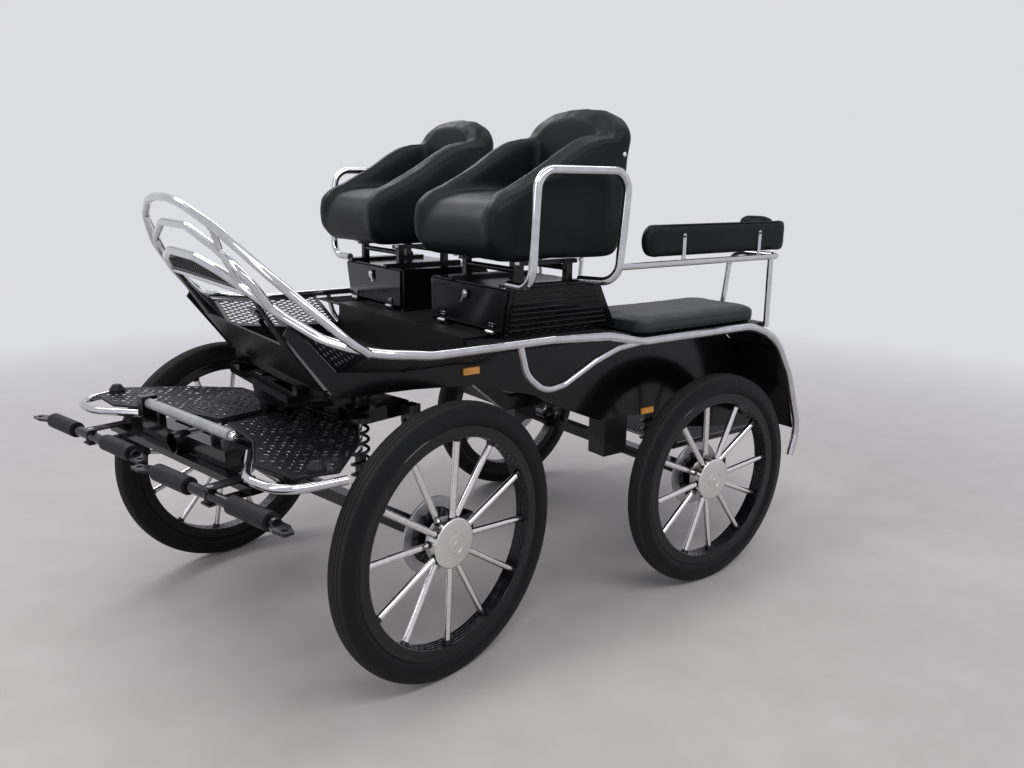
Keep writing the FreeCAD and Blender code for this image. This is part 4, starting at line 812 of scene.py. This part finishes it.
def open_mesh(work, corners, place, along=(1, 0, 0), long_way=0.042, short_way=0.023,
              strand=0.0070, thick=0.0022, lean=0.3, border=0.016):
    """A mesh panel inside its border bar, under a flat outline of corners in space."""
    corners = [Vector(corner) for corner in corners]
    normal = (corners[1] - corners[0]).cross(corners[2] - corners[1]).normalized()
    if normal.z < 0:
        corners.reverse()
        normal.negate()
    along = Vector(along)
    along = (along - normal * along.dot(normal)).normalized()
    centre = sum(corners, Vector()) / len(corners)
    basis = Matrix((along, normal.cross(along), normal)).transposed().to_4x4()
    local = Matrix.Translation(centre) @ basis
    back = local.inverted()
    outline = [(back @ corner).xy for corner in corners]
    room = inset(outline, border * 0.62)
    base = bpy.data.meshes.new("outline")
    base.from_pydata([(*corner, 0) for corner in room], [], [tuple(range(len(room)))])
    reach = [2 * max(abs(corner[axis]) for corner in outline) + long_way for axis in (0, 1)]
    strands = expanded.grow(base, mesh_paint, long_way=long_way, short_way=short_way,
                            strand=strand, thick=thick, lean=lean, wide=reach[0], tall=reach[1])
    work.take(strands, place @ local)
    inner = inset(outline, border)
    count = len(outline)
    rings = [[(*corner, z) for corner in line] for line in (outline, inner)
             for z in (BORDER_HALF, -BORDER_HALF)]
    points = sum(rings, [])
    faces = []
    for i in range(count):
        j = (i + 1) % count
        out_top, out_low, in_top, in_low = (k * count for k in range(4))
        faces += [(out_top + i, out_top + j, in_top + j, in_top + i),
                  (in_low + i, in_low + j, out_low + j, out_low + i),
                  (out_low + i, out_low + j, out_top + j, out_top + i),
                  (in_top + i, in_top + j, in_low + j, in_low + i)]
    return work.add(points, faces, place @ local)


DECK_Z = 1.0195
SIDE_DECK = [(0.472, 0.471, DECK_Z), (0.998, 0.471, DECK_Z), (0.998, 0.690, DECK_Z),
             (0.472, 0.690, DECK_Z)]
# The footwell's sides, from the seats forwards, with each panel's border.
WELL_PANELS = (([(1.003, 0.690, 1.034), (1.2215, 0.690, 1.034), (1.2215, 0.476, 0.9485),
                 (1.003, 0.476, 0.9485)], 0.016),
               ([(1.2225, 0.690, 1.034), (1.438, 0.668, 1.0505), (1.438, 0.476, 0.9740),
                 (1.2225, 0.476, 0.9485)], 0.016),
               ([(1.440, 0.668, 1.0528), (1.566, 0.486, 1.1300), (1.440, 0.486, 0.9785)], 0.012))
side_decks, well_sides = Work(), Work()
for sign in (1, -1):
    open_mesh(side_decks, on_side(SIDE_DECK, sign), BODY)
    for panel, border in WELL_PANELS:
        open_mesh(well_sides, on_side(panel, sign), BODY, border=border)
side_decks = side_decks.done("side_deck_mesh", mesh_paint, "carriage", "black_mesh", crease=30)
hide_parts("deck_mesh")
well_sides = well_sides.done("footwell_side_mesh", mesh_paint, "carriage", "black_mesh",
                             crease=30)
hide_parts("footwell_mesh")

DASH_SLOPE = 1.27
DASH_EDGE = [(x, y, CROSS_BAR[2] + (x - CROSS_BAR[0]) * DASH_SLOPE) for x, y in
             ((1.648, 0.376), (1.690, 0.283), (1.706, 0.130))]
dash_net = open_mesh(Work(), both(DASH_EDGE), BODY, along=(0, 1, 0), long_way=0.024,
                     short_way=0.013, strand=0.0046)
dash_net = dash_net.done("dash_net", mesh_paint, "carriage", "black_mesh", crease=30)
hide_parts("dash_mesh")

PLATFORM_Z = 0.448
PLATFORM = [(-0.087, -0.382), (-0.782, -0.382), (-0.818, -0.346), (-0.818, 0.346),
            (-0.782, 0.382), (-0.087, 0.382)]
platform = open_mesh(Work(), [(x, y, PLATFORM_Z) for x, y in PLATFORM], BODY, along=(0, 1, 0),
                     long_way=0.034, short_way=0.019)
platform = platform.done("platform_net", mesh_paint, "carriage", "black_mesh", crease=30)
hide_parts("platform_mesh")

# ---------------------------------------------------------------- seats and cushions
# Black vinyl sewn over foam: two bucket seats with fat side bolsters and a domed squab, a boxed
# cushion on each bench, and long and short back pads. Each is filled tight and piped at its seams.
vinyl = Finish("black_vinyl", (0.0046, 0.0054, 0.0066), 0.46, gloss=0.15)
leather_grain = vinyl.add("TexVoronoi", {"feature": "SMOOTH_F1"}, Vector=vinyl.place(), Scale=420.0)
vinyl.bump(leather_grain + vinyl.noise(9, 3) * 3.0, 0.16, 0.0006)
vinyl.feed("Roughness", vinyl.noise(7, 4) * 0.14 + 0.40)
# The seats' black vinyl again, for the bench cushions, with a painted sheen: its colour is lighter all over to
# stand for the overhead light their tops catch. Its gloss and roughness are the vinyl's own.
bench_vinyl_painted_sheen = Finish("bench_vinyl_painted_sheen", (0.018, 0.020, 0.022), 0.5, gloss=0.4)
bench_vinyl_painted_sheen.bump(bench_vinyl_painted_sheen.noise(380, 3), 0.16, 0.0006)
bench_vinyl_painted_sheen.feed("Roughness", bench_vinyl_painted_sheen.noise(7, 4) * 0.14 + 0.44)
SWELL_STEPS = 20
SWELL_PRESSURE = 4.0
SETTLE_STEPS = 5
PIPING_R = 0.0019


def baked(piece):
    """The mesh that a piece's modifiers give, with the modifiers gone."""
    depsgraph = bpy.context.evaluated_depsgraph_get()
    mesh = bpy.data.meshes.new_from_object(piece.evaluated_get(depsgraph))
    piece.modifiers.clear()
    piece.data = mesh
    return mesh


def pillow(work, outline, low, high, radius, place):
    """A slab with rounded rims: a flat outline in layers from low to high, put in place."""
    layers = []
    for angle in range(0, 91, 15):
        turned = math.radians(angle)
        layers.append((low + radius * (1 - math.sin(turned)), radius * (1 - math.cos(turned))))
    layers = layers[::-1]
    layers += [(low + high - level, margin) for level, margin in layers[::-1]]
    count = len(outline)
    points = [place(corner.x, corner.y, level) for level, margin in layers
              for corner in inset(outline, margin)]
    faces = [tuple(range(count))[::-1], tuple(range(len(points) - count, len(points)))]
    for layer in range(len(layers) - 1):
        for i in range(count):
            a, b = layer * count + i, layer * count + (i + 1) % count
            faces.append((a, b, b + count, a + count))
    return work.add(points, faces)


def smooth_outline(corners, bend):
    """A closed outline with its corners rounded, run counter-clockwise."""
    corners = [Vector((a, b, 0)) for a, b in corners]
    ring = bent([(corners[0] + corners[-1]) / 2] + corners + [(corners[0] + corners[-1]) / 2],
                bend, 5)[:-1]
    flat = [point.xy for point in ring]
    area = sum(a.x * b.y - b.x * a.y for a, b in zip(flat, flat[1:] + flat[:1]))
    return flat if area > 0 else flat[::-1]


def foam(work, voxel, softening, cap, rest_z):
    """One skin over all the forms of a piece, softened, then blown up by a cloth simulation.

    No point swells by more than the cap, or sinks below the level that the piece rests on."""
    mesh = bpy.data.meshes.new("skin")
    mesh.from_pydata(work.points, [], work.faces)
    piece = bpy.data.objects.new("skin", mesh)
    bpy.context.scene.collection.objects.link(piece)
    skin = piece.modifiers.new("skin", "REMESH")
    skin.mode = "VOXEL"
    skin.voxel_size = voxel
    soften = piece.modifiers.new("soften", "SMOOTH")
    soften.factor = 0.5
    soften.iterations = softening
    start = [vertex.co.copy() for vertex in baked(piece).vertices]
    cloth = piece.modifiers.new("swell", "CLOTH")
    cloth.settings.use_pressure = True
    cloth.settings.uniform_pressure_force = SWELL_PRESSURE
    cloth.settings.effector_weights.gravity = 0
    cloth.point_cache.frame_end = SWELL_STEPS
    for step in range(1, SWELL_STEPS + 1):
        bpy.context.scene.frame_set(step)
    baked(piece)
    bpy.context.scene.frame_set(1)
    for vertex, before in zip(piece.data.vertices, start):
        move = vertex.co - before
        if move.length > cap:
            move *= cap / move.length
        vertex.co = before + move
        vertex.co.z = max(vertex.co.z, rest_z)
    settle = piece.modifiers.new("settle", "SMOOTH")
    settle.factor = 0.5
    settle.iterations = SETTLE_STEPS
    round_off = piece.modifiers.new("round", "SUBSURF")
    round_off.levels = round_off.render_levels = 1
    skin_mesh = baked(piece)
    bpy.data.objects.remove(piece)
    return skin_mesh


def surface(mesh):
    """A search tree over a mesh's faces."""
    return BVHTree.FromPolygons([tuple(vertex.co) for vertex in mesh.vertices],
                                [tuple(face.vertices) for face in mesh.polygons])


def side_of(sign):
    """The carriage's own axes, or with a sign of -1 their mirror image across it."""
    return BODY @ Matrix.Diagonal((1, sign, 1, 1))


def upholster(name, node, mesh, seams, finish, signs):
    """A foam piece in its vinyl with its piping, on the carriage's left (1), its right (-1)
    or both, in place of a CAD node."""
    work = Work()
    tree = surface(mesh)
    for sign in signs:
        work.take(mesh, side_of(sign))
        for path in seams:
            seam = [tree.find_nearest(Vector(point))[0] for point in path]
            work.tube(seam, PIPING_R, side_of(sign), 6)
    piece = work.done(name, finish, "carriage", "black_vinyl", crease=60)
    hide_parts(node)


# The bucket seat, from the side, in metres about the datum: bolster, squab, and the arched back
# from the front about its own middle.
SEAT_Y = 0.390
SEAT_HALF = 0.252
BOLSTER_WIDE = 0.094
SQUAB_HALF = 0.232
BACK_THICK = 0.076
BACK_FOOT = 0.441
SEAM_OUT = 0.262
SEAT_BOLSTER = [(0.486, 1.281), (0.945, 1.281), (1.001, 1.330), (1.004, 1.400), (0.993, 1.450),
                (0.955, 1.480), (0.900, 1.505), (0.827, 1.540), (0.766, 1.575), (0.703, 1.614),
                (0.640, 1.648), (0.574, 1.668), (0.507, 1.672), (0.443, 1.668)]
SEAT_SQUAB = [(0.520, 1.281), (0.965, 1.281), (0.997, 1.315), (1.000, 1.365), (0.985, 1.408),
              (0.945, 1.445), (0.880, 1.468), (0.790, 1.478), (0.660, 1.474), (0.520, 1.462)]
SEAT_ARCH = [(-0.250, 1.286), (0.250, 1.286), (0.254, 1.680), (0.208, 1.724), (0.130, 1.752),
             (0.040, 1.762), (-0.040, 1.762), (-0.130, 1.752), (-0.208, 1.724), (-0.254, 1.680)]
RAKE = 0.036 / 0.405
seat = Work()
for low in (SEAT_Y - SEAT_HALF, SEAT_Y + SEAT_HALF - BOLSTER_WIDE):
    pillow(seat, smooth_outline(SEAT_BOLSTER, 0.045), low, low + BOLSTER_WIDE, 0.038,
           lambda x, z, y: (x, y, z))
pillow(seat, smooth_outline(SEAT_SQUAB, 0.06), SEAT_Y - SQUAB_HALF, SEAT_Y + SQUAB_HALF, 0.040,
       lambda x, z, y: (x, y, z))
pillow(seat, smooth_outline(SEAT_ARCH, 0.06), 0.0, BACK_THICK, 0.034,
       lambda y, z, x: (BACK_FOOT + x + RAKE * (1.675 - z), SEAT_Y + y, z))
seat_mesh = foam(seat, voxel=0.010, softening=5, cap=0.007, rest_z=1.272)
seam_line = bent([(x, 0, z - 0.030) for x, z in SEAT_BOLSTER[4:]], 0.09, 6)
seat_seams = [[(point.x, SEAT_Y + sign * SEAM_OUT, point.z) for point in seam_line]
              for sign in (1, -1)]
for name, sign in (("left", 1), ("right", -1)):
    upholster("bucket_seat_" + name, "seat_" + name, seat_mesh, seat_seams, vinyl, (sign,))

BENCH_PAD = [(-0.229, 0.326), (0.404, 0.326), (0.404, 0.670), (-0.229, 0.670)]
BENCH_RIM = [(-0.236, 0.319), (0.411, 0.319), (0.411, 0.677), (-0.236, 0.677)]
BENCH_ROUND = 0.060
bench = Work()
pillow(bench, smooth_outline(BENCH_PAD, BENCH_ROUND), 1.003, 1.054, 0.014,
       lambda x, y, z: (x, y, z))
bench_mesh = foam(bench, voxel=0.007, softening=3, cap=0.010, rest_z=1.001)
rim_line = smooth_outline(BENCH_RIM, BENCH_ROUND)
bench_seams = [[(point.x, point.y, z) for point in rim_line + rim_line[:1]]
               for z in (1.051, 1.007)]
for name, sign in (("left", 1), ("right", -1)):
    upholster("bench_pad_" + name, "bench_cushion_" + name, bench_mesh, bench_seams, bench_vinyl_painted_sheen,
              (sign,))

REST_PAD = [(-0.320, 1.267), (0.420, 1.267), (0.420, 1.384), (-0.320, 1.384)]
END_PAD = [(0.482, 1.267), (0.639, 1.267), (0.639, 1.392), (0.482, 1.392)]
rest_line, end_line = smooth_outline(REST_PAD, 0.052), smooth_outline(END_PAD, 0.048)
rest, end = Work(), Work()
pillow(rest, rest_line, 0.653, 0.6855, 0.012, lambda x, z, y: (x, y, z))
rest_mesh = foam(rest, voxel=0.0065, softening=3, cap=0.006, rest_z=1.264)
pillow(end, end_line, -0.3215, -0.287, 0.012, lambda y, z, x: (x, y, z))
end_mesh = foam(end, voxel=0.0065, softening=3, cap=0.005, rest_z=1.264)
rest_seams = [[(point.x, y, point.y) for point in rest_line + rest_line[:1]]
              for y in (0.652, 0.6865)]
end_seams = [[(x, point.x, point.y) for point in end_line + end_line[:1]]
             for x in (-0.3225, -0.286)]
upholster("back_pads", "rest_pads", rest_mesh, rest_seams, vinyl, (1, -1))
upholster("end_back_pads", "end_pads", end_mesh, end_seams, vinyl, (1, -1))

# Round studs through the side bolsters near the back, and bolts up through the seat's foot.
STUDS = ((0.484, 1.600), (0.489, 1.550))
STUD_R = 0.009
FOOT_BOLT = (1.262, 1.2705)
FOOT_BOLT_R = 0.008
studs = Work()
seat_tree = surface(seat_mesh)
for sign in (1, -1):
    for x, z in STUDS:
        spot, out = seat_tree.find_nearest((x, 0.660, z))[:2]
        studs.tube([spot - out * 0.003, spot + out * 0.002, spot + out * 0.0035], STUD_R,
                   side_of(sign), 16, tip=0.006)
    for x in (0.600, 0.860):
        for y in (SEAT_Y - 0.180, SEAT_Y + 0.180):
            studs.tube([(x, sign * y, z) for z in FOOT_BOLT], FOOT_BOLT_R, BODY, 6)
studs.done("seat_studs", screw_steel, "carriage", "polished_steel")

# ---------------------------------------------------------------- lockers
# Steel boxes under the seats, with swaged outer sides, rolled edges, and a flap in front on two
# chromed hinges, held by a turning latch.
LOCKER_LOW = (0.545, 1.028)
LOCKER_HIGH = (0.582, 1.187)
LOCKER_BACK = 0.450
BACK_LEAN = 0.104 / 0.159
RIBS = 9
RIB_STEP = 0.0185
RIB_R = 0.0042
ROLL_X = 0.8915
ROLL_R = 0.003
side_rise = (Vector(LOCKER_HIGH) - Vector(LOCKER_LOW)).normalized()
outward = Vector((side_rise.y, -side_rise.x))
ribs, bright = Work(), Work()
for sign in (1, -1):
    for i in range(RIBS):
        y, z = Vector(LOCKER_LOW) + side_rise * (0.022 + RIB_STEP * i) + outward * 0.0008
        back = LOCKER_BACK + BACK_LEAN * (z - LOCKER_LOW[1])
        ribs.tube([(back, sign * y, z), (0.878, sign * y, z)], RIB_R, BODY, 10)
    for y0, z0, y1, z1 in ((0.544, 1.030, 0.580, 1.184), (0.115, 1.030, 0.110, 1.184),
                           (0.110, 1.1845, 0.580, 1.1845)):
        ribs.tube([(ROLL_X, sign * y0, z0), (ROLL_X, sign * y1, z1)], ROLL_R, BODY, 8)
    bright.tube([(0.889, sign * 0.548, 1.187), (0.889, sign * 0.548, 1.191)], 0.012, BODY, 6)
ribs.done("locker_swages", black, "carriage", "black_paint")
bright.done("locker_bolts", screw_steel, "carriage", "polished_steel")
# A flap's latch in its middle, with a turning grip, and its hinges' inner edges.
LATCH_Y, LATCH_Z = 0.345, 1.151
HINGES = (0.181, 0.478)
PIN_X, PIN_Z, PIN_R = 0.908, 1.042, 0.0072


def forwards(x0, x1, y, z):
    """A short straight path along the carriage."""
    return [(x0, y, z), (x1, y, z)]


for name, sign in (("left", 1), ("right", -1)):
    fittings = Work()
    fittings.tube(forwards(0.903, 0.9118, sign * LATCH_Y, LATCH_Z), 0.0135, BODY, 24)
    fittings.tube(forwards(0.9118, 0.9145, sign * LATCH_Y, LATCH_Z), 0.0075, BODY, 20, tip=0.005)
    fittings.tube([(0.910, sign * 0.340, 1.146), (0.911, sign * 0.326, 1.122)], 0.0036, BODY, 10)
    for y in HINGES:
        low, high = sorted((sign * (y - 0.001), sign * (y + 0.031)))
        fittings.block((0.9032, low, 1.0485), (0.9058, high, 1.072), BODY)
        for screw_y in (y + 0.008, y + 0.022):
            fittings.tube(forwards(0.9050, 0.9075, sign * screw_y, 1.0625), 0.0030, BODY, 10,
                          tip=0.0016)
        fittings.tube([(PIN_X, sign * (y - 0.0045), PIN_Z), (PIN_X, sign * (y + 0.0345), PIN_Z)],
                      PIN_R, BODY, 14)
    fittings.done("locker_fittings_" + name, screw_steel, "locker_flap_" + name, "polished_steel",
                  bevel=0.0004)

# ---------------------------------------------------------------- step plates
# Sheet steel in black paint with a rolled outer edge. Rows of curved lips are pressed up out of it
# for grip, and shoes have worn them bright in places.
STEP = [(0.085, 0.026), (0.358, 0.026), (0.410, 0.260), (0.516, 0.440), (0.500, 0.615),
        (0.390, 0.655), (0.205, 0.500), (0.085, 0.345)]
STEP_TOP = 0.765


def lip_pattern():
    """Small arched lips on a staggered grid, kept inside an outline."""
    pattern = Pattern("pressed_lips", pitch="Float", row="Float", wide="Float", tall="Float",
                      radius="Float", wire="Float")
    sizes = [pattern.size("wide"), pattern.size("tall")]
    steps = [pattern.size("row"), pattern.size("pitch")]
    counts = [pattern.maths("DIVIDE", reach, step) for reach, step in zip(sizes, steps)]
    kept = inside(pattern, staggered(pattern, sizes, counts, steps))
    arch = pattern.add("GeometryNodeCurveArc", Resolution=7, Radius=pattern.size("radius"),
                       Start_Angle=math.pi / 2, Sweep_Angle=math.pi)
    bar = pattern.add("GeometryNodeCurvePrimitiveCircle", Resolution=5,
                      Radius=pattern.size("wire"))
    lip = pattern.add("GeometryNodeCurveToMesh", Curve=arch, Profile_Curve=bar, Fill_Caps=True)
    return pattern.close(pattern.add("GeometryNodeInstanceOnPoints", Points=kept, Instance=lip))


pressed_lips = lip_pattern()
lip_steel = Finish("worn_lips", (0.20, 0.20, 0.20), 0.25, metallic=0.9)
lip_steel.feed("Base Color", lip_steel.ramp(lip_steel.noise(45, 4), (0.45, (0.01, 0.01, 0.01)),
                                            (0.66, (0.42, 0.42, 0.41))))
EDGE_R = 0.0045
lips, edges = Work(), Work()
for sign in (1, -1):
    outline = [Vector((x, sign * y)) for x, y in STEP][::sign]
    base = bpy.data.meshes.new("plate")
    base.from_pydata([(*corner, 0) for corner in inset(outline, 0.016)], [],
                     [tuple(range(len(outline)))])
    raised = pressed_lips.grow(base, lip_steel, pitch=0.038, row=0.036, wide=1.1, tall=1.4,
                               radius=0.0088, wire=0.0017)
    lips.take(raised, FORE @ Matrix.Translation((0, 0, STEP_TOP)))
    edge = [(corner.x, corner.y, STEP_TOP - 0.002) for corner in inset(outline, 0.003)]
    edges.tube(edge + edge[:1], EDGE_R, FORE, 8)
lips.done("step_lips", lip_steel, "fore_carriage", "black_mesh")
edges.done("step_edges", mesh_paint, "fore_carriage", "black_mesh")
dress("step_plates", mesh_paint)

# ---------------------------------------------------------------- springs
# Coil springs over steel dampers, between the axles and the frames. Each stands in a cup at both
# ends beside a tubular arm and its welded brackets, all painted black but the damper's rod.
coil_black = Finish("coil_black", (0.012, 0.012, 0.013), 0.3, coat=0.3, gloss=0.35)
damper_steel = Finish("damper_steel", (0.62, 0.62, 0.63), 0.16, metallic=1.0)


TURNS = 7
TURN_STEPS = 14
COIL_R = 0.029
WIRE_R = 0.0058
CUP_R = 0.0355
CUP_TALL = 0.018
CUP_GAP = 0.022
DAMPER_R = 0.019
ROD_R = 0.009


def coil_over(coils, rods, y, low, high, place):
    """A coil spring round a damper, with a cup at each end."""
    steps = TURNS * TURN_STEPS
    spring = []
    for i in range(steps + 1):
        angle = 2 * math.pi * i / TURN_STEPS
        rise = low + CUP_GAP + (high - low - 2 * CUP_GAP) * i / steps
        spring.append((COIL_R * math.cos(angle), y + COIL_R * math.sin(angle), rise))
    coils.tube(spring, WIRE_R, place, 8)
    for foot in (low, high - CUP_TALL):
        coils.tube([(0, y, foot), (0, y, foot + CUP_TALL)], CUP_R, place, 28)
    middle = low + (high - low) * 0.55
    coils.tube([(0, y, low + 0.01), (0, y, middle)], DAMPER_R, place, 20)
    rods.tube([(0, y, middle), (0, y, high - 0.01)], ROD_R, place, 16)


# The front arms and their pads stand behind the axle, and the rear ones ahead of it. A block's
# columns: back, front, inner, outer, foot, top.
FRONT_BLOCKS = ((-0.250, -0.200, -0.025, 0.025, 0.685, 0.753),
                (-0.025, 0.025, -0.025, 0.025, 0.425, 0.4625))
REAR_BLOCKS = ((0.140, 0.260, -0.038, 0.020, 0.455, 0.720),
               (0.140, 0.260, -0.074, -0.036, 0.455, 0.700),
               (-0.030, 0.030, -0.038, 0.0, 0.700, 0.730))
FRONT_ARM = ((-0.0225, 0.440), (-0.225, 0.705))
REAR_ARM = ((0.0225, 0.410), (0.200, 0.495))
ARM_R = 0.020
# Columns of both: the place and the body that carry them, CAD node, off centre, foot, head, arm,
# blocks.
for name, place, body, node, y, low, high, arm, blocks in (
        ("front_springs", FORE, "fore_carriage", "front_suspension", 0.233, 0.4625, 0.753,
         FRONT_ARM, FRONT_BLOCKS),
        ("rear_springs", BODY, "carriage", "rear_suspension", 0.326, 0.4325, 0.720,
         REAR_ARM, REAR_BLOCKS)):
    coils, rods = Work(), Work()
    for sign in (1, -1):
        coil_over(coils, rods, sign * y, low, high, place)
        coils.tube([(along, sign * y, rise) for along, rise in arm], ARM_R, place, 20)
        for back, front, inner, outer, foot, top in blocks:
            right, left = sorted((sign * (y + inner), sign * (y + outer)))
            coils.block((back, right, foot), (front, left, top), place)
    coils = coils.done(name, coil_black, body, "black_paint", crease=40, bevel=0.0008)
    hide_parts(node)
    rods.done(name + "_rods", damper_steel, body, "polished_steel")

# ---------------------------------------------------------------- small rubber and plastic parts
# Rubber sleeves on the swingletrees, buffers, a grey sleeve on the front cross bar, and amber
# reflectors moulded with rows of prisms.
rubber = Finish("black_rubber", (0.011, 0.011, 0.0125), 0.6, gloss=0.22)
rubber.bump(rubber.noise(300, 3), 0.2, 0.0006)
rubber.feed("Roughness", rubber.noise(30, 4) * 0.25 + 0.45)
grey_rubber = Finish("grey_sleeve", (0.30, 0.30, 0.315), 0.35, gloss=0.5, coat=0.25)
grey_rubber.feed("Base Color", grey_rubber.ramp(grey_rubber.noise(22, 5), (0.3, (0.24, 0.24, 0.25)),
                                                (0.7, (0.34, 0.34, 0.355))))
grey_rubber.bump(grey_rubber.noise(200, 3), 0.1, 0.0006)
amber = Finish("amber_reflector", (0.90, 0.36, 0.03), 0.18, coat=0.6)
prisms = amber.axes()
ridge = (prisms[0] * 1100).wave() * (prisms[2] * 1100).wave()
amber.bump(ridge, 0.5, 0.0008)
amber.feed("Base Color", amber.ramp(ridge * 0.5 + 0.5, (0.2, (0.80, 0.27, 0.02)),
                                    (0.9, (0.98, 0.48, 0.06))))
for node in ("tree_sleeves_left", "tree_sleeves_right", "rubber_buffers"):
    dress(node, rubber)
dress("side_reflectors", amber)
ROLLER_X, ROLLER_HALF, ROLLER_Z = 0.477, 0.260, 0.800
ROLLER_FOOT = 0.755
CLIP_Y = 0.170
x, half, z = ROLLER_X, ROLLER_HALF, ROLLER_Z
sleeve = Work().tube([(x, -half, z), (x, half, z)], 0.017, FORE, 28)
sleeve = sleeve.done("roller_sleeve", grey_rubber, "fore_carriage", "grey_sleeve")
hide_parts("cross_roller")
carrier = Work().block((x - 0.026, -half - 0.022, ROLLER_FOOT), (x + 0.026, -half + 0.014, 0.824),
                       FORE)
for y in (CLIP_Y, -CLIP_Y):
    carrier.block((x - 0.012, y - 0.008, ROLLER_FOOT), (x + 0.012, y + 0.008, z - 0.012), FORE)
carrier.done("roller_carrier", black, "fore_carriage", "black_paint", bevel=0.0015)
BALL = [(0.008, 0.001), (0.013, 0.005), (0.0155, 0.011), (0.0155, 0.017), (0.013, 0.023),
        (0.010, 0.028)]
KNOB = (0.262, 0.288)
knob = Work().ring(BALL, 24, FORE @ Matrix.Translation((x, KNOB[0], z)))
knob.tube([(x, y, z) for y in KNOB], 0.008, FORE, 16)
knob.done("roller_knob", stainless, "fore_carriage", "polished_steel")

# Bolts through the swingletrees' pivots and the roller: place, radius, height.
BOLTS = ((0.617, 0.385, 0.706, 0.011, 0.010), (ROLLER_X, 0.200, 0.817, 0.006, 0.005))
bolts = Work()
for sign in (1, -1):
    for x, y, z, radius, tall in BOLTS:
        bolts.tube([(x, sign * y, z), (x, sign * y, z + tall)], radius, FORE, 6)
bolts.done("front_bolts", screw_steel, "fore_carriage", "polished_steel")
